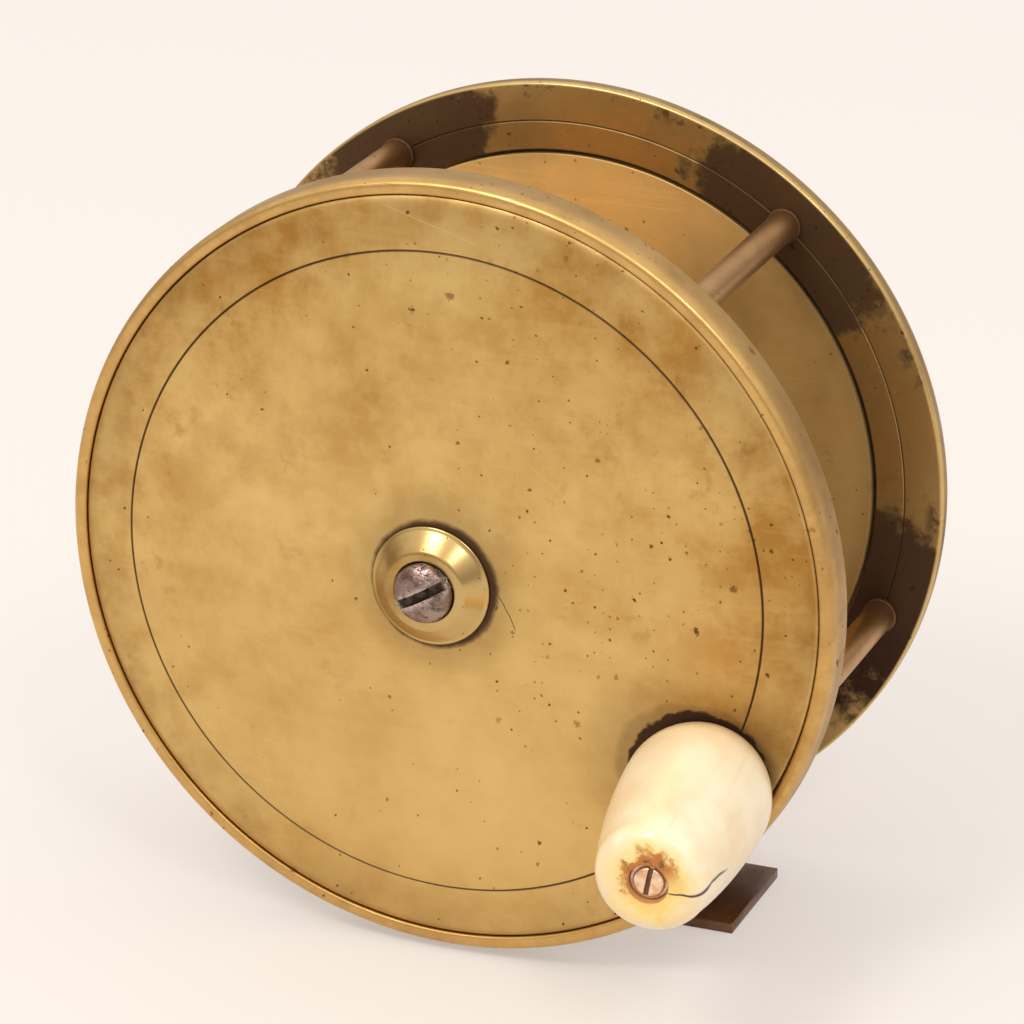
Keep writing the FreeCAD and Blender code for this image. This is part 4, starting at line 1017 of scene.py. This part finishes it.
def make_ivory():
    material, tree, shader = new_material("grip_old_ivory")
    place, radius = grip_place(tree)
    parts = parts_of(place)
    clouds = ramp(noise(place, 95.0, 4.0, 0.5), 0.32, 0.68)
    grain = noise(spun(place, 0.0, (1.0, 0.06, 1.0)), 900.0, 3.0, 0.6)
    fine = noise(place, 2600.0, 2.0, 0.5)
    colour = mix(clouds, (0.86, 0.66, 0.40), (0.95, 0.83, 0.60))
    colour = mix(ramp(grain, 0.52, 0.78, 0.0, 0.18), colour, (0.70, 0.44, 0.20))
    colour = mix(mm_ramp(parts[1], -6.5, -0.9, 0.0, 0.62), colour, (0.74, 0.52, 0.22))
    # The rust stain spreads in ragged lobes from the screw's recess.
    spread = plus(radius, scaled(noise(place, 300.0, 6.0, 0.68), 10.0 * MM, -4.6 * MM))
    at_end = mm_ramp(parts[1], grip_tip + 4.5, grip_tip + 2.0)
    wash = times(mm_ramp(spread, 8.2, 3.0, 0.0, 0.80), at_end)
    colour = mix(wash, colour, (0.92, 0.62, 0.12))
    upper_side = mm_ramp(scaled(parts[0], -0.55, parts[2]), -2.2, 1.4, 0.12, 1.0)
    stain = most(times(mm_ramp(spread, 4.9, 3.2), at_end, upper_side), mm_ramp(radius, 2.75, 2.45))
    colour = mix(times(stain, 0.96), colour, (0.44, 0.135, 0.005))
    colour = mix(mm_ramp(radius, 2.50, 2.42), colour, (0.72, 0.38, 0.17))
    specks = ramp(noise(place, 700.0, 4.0, 0.7), 0.56, 0.66)
    specks = times(specks, mm_ramp(spread, 5.2, 3.0), at_end, upper_side)
    colour = mix(times(specks, 0.85), colour, (0.14, 0.04, 0.015))
    # The crack wanders from the recess over the rounded end and a little way down the side.
    waver = scaled(noise(place, 150.0, 1.5), 3.6 * MM, -1.8 * MM)
    off = maths("ABSOLUTE", plus(parts[2], 0.5 * MM, waver))
    line = ramp(off, mm_ramp(parts[0], 3.0, 7.0, 0.10 * MM, 0.26 * MM), 0.03 * MM)
    short = mm_ramp(parts[1], grip_tip + 8.0, grip_tip + 5.5)
    crack = times(line, times(mm_ramp(parts[0], 2.2, 2.8), short))
    colour = mix(crack, colour, (0.035, 0.014, 0.008))
    roughness = plus(scaled(clouds, 0.10, 0.26), times(stain, 0.25))
    shader.inputs["Coat Weight"].default_value = 0.35
    shader.inputs["Coat Roughness"].default_value = 0.07
    height = plus(minus(times(fine, 0.10), times(crack, 1.3)), times(stain, 0.3))
    finish_surface(shader, colour, roughness, None, height, 0.07)
    return material


def arc_of(start_depth, start_radius, end_depth, end_radius, flat_end, steps=16):
    """Points of an arc that lies level, along the axis, at its flat end: the start or the end."""
    points = []
    for number in range(steps + 1):
        part = number / steps
        ease = 1 - (1 - part) ** 2 if flat_end == "end" else part ** 2
        points.append((start_depth + (end_depth - start_depth) * part,
                       start_radius + (end_radius - start_radius) * ease))
    return points


ivory = make_ivory()
end_start = grip_tip + end_round
sweeps = [math.pi / 2 * number / 10 for number in range(1, 11)]
end_corner = [(end_start - end_round * math.sin(sweep),
               end_radius - end_round * (1 - math.cos(sweep))) for sweep in sweeps]
grip = turn_piece("handle_grip_turned", [
    (grip_base, pin_bore),
    (grip_base, base_radius - 0.5, 0.1),
    (grip_base - 0.15, base_radius - 0.15),
    *arc_of(grip_base - 0.5, base_radius, belly_at, belly_radius, "end"),
    *arc_of(belly_at, belly_radius, end_start, end_radius, "start")[1:],
    *end_corner,
    (grip_tip, recess_wall, 0.3),
    (recess_floor, recess_wall),
    (recess_floor, pin_bore),
], ivory, steps=128, place=handle_place, sharp=50.0)
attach(grip, "grip")
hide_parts("handle_grip")


# Handle pin, washer and tip screw. A steel pin riveted in the winding plate, with a thin washer and a
# small slotted screw in its end that has gone coppery. The screw's slot stands nearly upright.
coat("handle_pin", spindle_steel)
washer_low = recess_floor + 0.1
washer_top = washer_low - 0.3
tip_top = washer_top - 0.9


def copper_material():
    material, tree, shader = new_material("tip_screw_coppery_brass")
    place, radius = grip_place(tree)
    cloud = ramp(noise(place, 800.0, 5.0, 0.6), 0.38, 0.64)
    darkening = ramp(noise(place, 1900.0, 4.0, 0.6), 0.55, 0.70)
    colour = mix(cloud, (0.95, 0.74, 0.54), (0.80, 0.47, 0.25))
    # Painted shade in the slot.
    slot_shade = times(mm_ramp(parts_of(place)[1], tip_top + 0.22, tip_top + 0.42, 0.0, 0.9),
                      mm_ramp(radius, 1.96, 1.86))
    dark = most(mm_ramp(radius, 1.92, 2.05, 0.0, 0.35), times(darkening, 0.30), slot_shade)
    colour = mix(dark, colour, (0.12, 0.04, 0.015))
    finish_surface(shader, colour, scaled(cloud, 0.15, 0.24), scaled(dark, -0.4, 0.95), minus(cloud, darkening),
                   0.02)
    return material


copper = copper_material()
coat("handle_washer", copper)
tip_screw = turn_piece("tip_screw_turned", [
    (washer_top + 6.2, 0.0),
    (washer_top + 6.2, 1.0),
    (washer_top, 1.0),
    (washer_top, 2.0),
    (tip_top + 0.35, 2.0, 0.3),
    (tip_top + 0.08, 1.5, 0.3),
    (tip_top, 0.6, 0.3),
    (tip_top, 0.0),
], copper, steps=64, place=unplaced)
slot_across(tip_screw, "tip_screw_slot", 0.62, tip_top - 0.5, tip_top + 0.6, 3.0, turn=-79.0)
tip_screw.data.transform(handle_place)
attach(tip_screw, "drum")
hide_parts("handle_screw")


# Check. Behind the back plate a brass ring and cover, held by three domed screws, house the click:
# a steel ratchet on the spindle, a sprung pawl on its post and a leaf spring.
housing_radius = 20.0
housing_wall = 3.5
housing_depth = 4.8
cover_thickness = 1.4
housing_end = back_outer + housing_depth
cover_face = housing_end + cover_thickness


def housing_wear(place, radius, depth):
    """Rubbed brighter round the cover's rounded edge and at its middle."""
    edge = mm_ramp(radius, housing_radius - 1.6, housing_radius - 0.4, 0.0, 0.5)
    face = mm_ramp(depth, cover_face - 0.9, cover_face - 0.1)
    middle = mm_ramp(radius, 9.0, 1.0, 0.0, 0.25)
    return times(plus(edge, middle), face)


def housing_grime(place, radius, depth):
    """Darker in the corner with the back plate and in the joint under the cover."""
    corner = mm_ramp(depth, back_outer + 1.1, back_outer, 0.0, 0.75)
    joint = mm_ramp(apart(depth, housing_end), 0.14, 0.05, 0.0, 0.8)
    clouds = ramp(noise(place, 70.0, 4.0), 0.45, 0.72, 0.0, 0.35)
    return most(corner, joint, clouds)


check_brass = brass_material("check_brass", brass_colour, brass_patina, 0.65, spots=0.04, wear_and_light=housing_wear,
                             grime_and_shade=housing_grime)
housing = turn_piece("check_housing_turned", [
    (back_outer + 0.01, housing_radius - housing_wall),
    (back_outer + 0.01, housing_radius),
    (housing_end - 0.03, housing_radius, 0.12),
    (housing_end - 0.03, housing_radius - housing_wall),
], check_brass, steps=160)
cover = turn_piece("check_cover_turned", [
    (housing_end, 0.0),
    (housing_end, housing_radius, 0.12),
    (cover_face, housing_radius, 0.75),
    (cover_face, 9.3),
    (cover_face - 0.12, 9.1),
    (cover_face, 8.9),
    (cover_face, 0.0),
], check_brass, steps=160)
for piece, node in ((housing, "check_housing"), (cover, "check_cover")):
    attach(piece, "frame")
    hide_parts(node)

cover_screw_radius = 1.7
cover_screw_height = 0.8
sweeps = [math.pi / 2 * number / 6 for number in range(7)]
dome = [(cover_face + cover_screw_height * math.sin(sweep),
         cover_screw_radius * math.cos(sweep)) for sweep in sweeps]
cover_screws = turn_piece("cover_screws_turned", [
    (cover_face - 3.4, 0.0), (cover_face - 3.4, 0.9), (cover_face - 0.01, 0.9), *dome,
], blued_steel, steps=40, place=unplaced)
slot_across(cover_screws, "cover_screw_slot", 0.6, cover_face + 1.5, cover_face + 0.25, 3.0)
set_round(cover_screws, blued_steel, 3, 60.0, 120.0, housing_radius - housing_wall / 2, seed=5)
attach(cover_screws, "frame")
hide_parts("check_cover_screws")

check_steel = steel_material("check_work_steel", (0.50, 0.48, 0.46), (0.30, 0.24, 0.20), pits=0.2,
                             rough=0.30)
for node in ("ratchet_wheel", "ratchet_pin", "check_pawl", "pawl_post", "check_spring", "spring_screw"):
    coat(node, check_steel)


# Studio. A warm white paper floor with a faint glow of its own, a soft lamp high in front, a weaker one
# on the right, and a warm room, dimmer low down, for the brass to reflect.
floor_mesh = bpy.data.meshes.new("studio_floor")
floor_half = 4.0
floor_corners = [(x * floor_half, y * floor_half, 0.0) for x, y in ((-1, -1), (1, -1), (1, 1), (-1, 1))]
floor_mesh.from_pydata(floor_corners, [], [(0, 1, 2, 3)])
floor = new_piece("studio_floor", floor_mesh)
paper, tree, shader = new_material("studio_floor_paper")
paper_tone = ramp(noise(object_place(tree), 2.0, 2.0), 0.3, 0.7, 0.0, 0.3)
tree.links.new(mix(paper_tone, (0.46, 0.435, 0.415), (0.47, 0.45, 0.43)), shader.inputs["Base Color"])
shader.inputs["Emission Color"].default_value = (1.0, 0.93, 0.865, 1.0)
shader.inputs["Emission Strength"].default_value = 0.40
shader.inputs["Roughness"].default_value = 0.9
shader.inputs["Specular IOR Level"].default_value = 0.1
floor_mesh.materials.append(paper)


def soft_lamp(name, place, target, size, power, colour):
    data = bpy.data.lights.new(name, "AREA")
    data.shape = "DISK"
    data.size = size
    data.energy = power
    data.color = colour
    lamp = new_piece(name, data)
    lamp.location = place
    lamp.rotation_euler = (Vector(target) - Vector(place)).to_track_quat("-Z", "Y").to_euler()


soft_lamp("high_front_lamp", (-0.28, -0.92, 1.15), (0.0, 0.0, 0.05), 0.45, 6.5, (1.0, 0.97, 0.93))
soft_lamp("right_lamp", (0.62, -0.80, 0.95), (0.0, 0.0, 0.05), 0.25, 2.5, (0.94, 0.97, 1.0))

room = bpy.data.worlds.new("studio_room")
bpy.context.scene.world = room
room.use_nodes = True
tree = room.node_tree
upward = parts_of(add_node(tree, "ShaderNodeTexCoord").outputs["Generated"])[2]
height = ramp(upward, 0.05, 0.60)
glow = mix(height, (0.40, 0.36, 0.32), (1.0, 0.97, 0.94))
tree.links.new(glow, tree.nodes["Background"].inputs["Color"])
tree.nodes["Background"].inputs["Strength"].default_value = 1.11


# Camera. A long lens, a little above and to the right of the winding plate's face.
camera_data = bpy.data.cameras.new("camera")
camera_data.lens = 174.8
camera_data.sensor_width = 36.0
camera_data.clip_end = 20.0
camera = new_piece("camera", camera_data)
camera.location = (0.2189, -0.5519, 0.2838)
camera.rotation_euler = Vector((-0.3454, 0.8641, -0.3662)).to_track_quat("-Z", "Y").to_euler()
bpy.context.scene.camera = camera
bpy.context.scene.view_settings.view_transform = "Standard"
bpy.context.scene.view_settings.exposure = 0.0
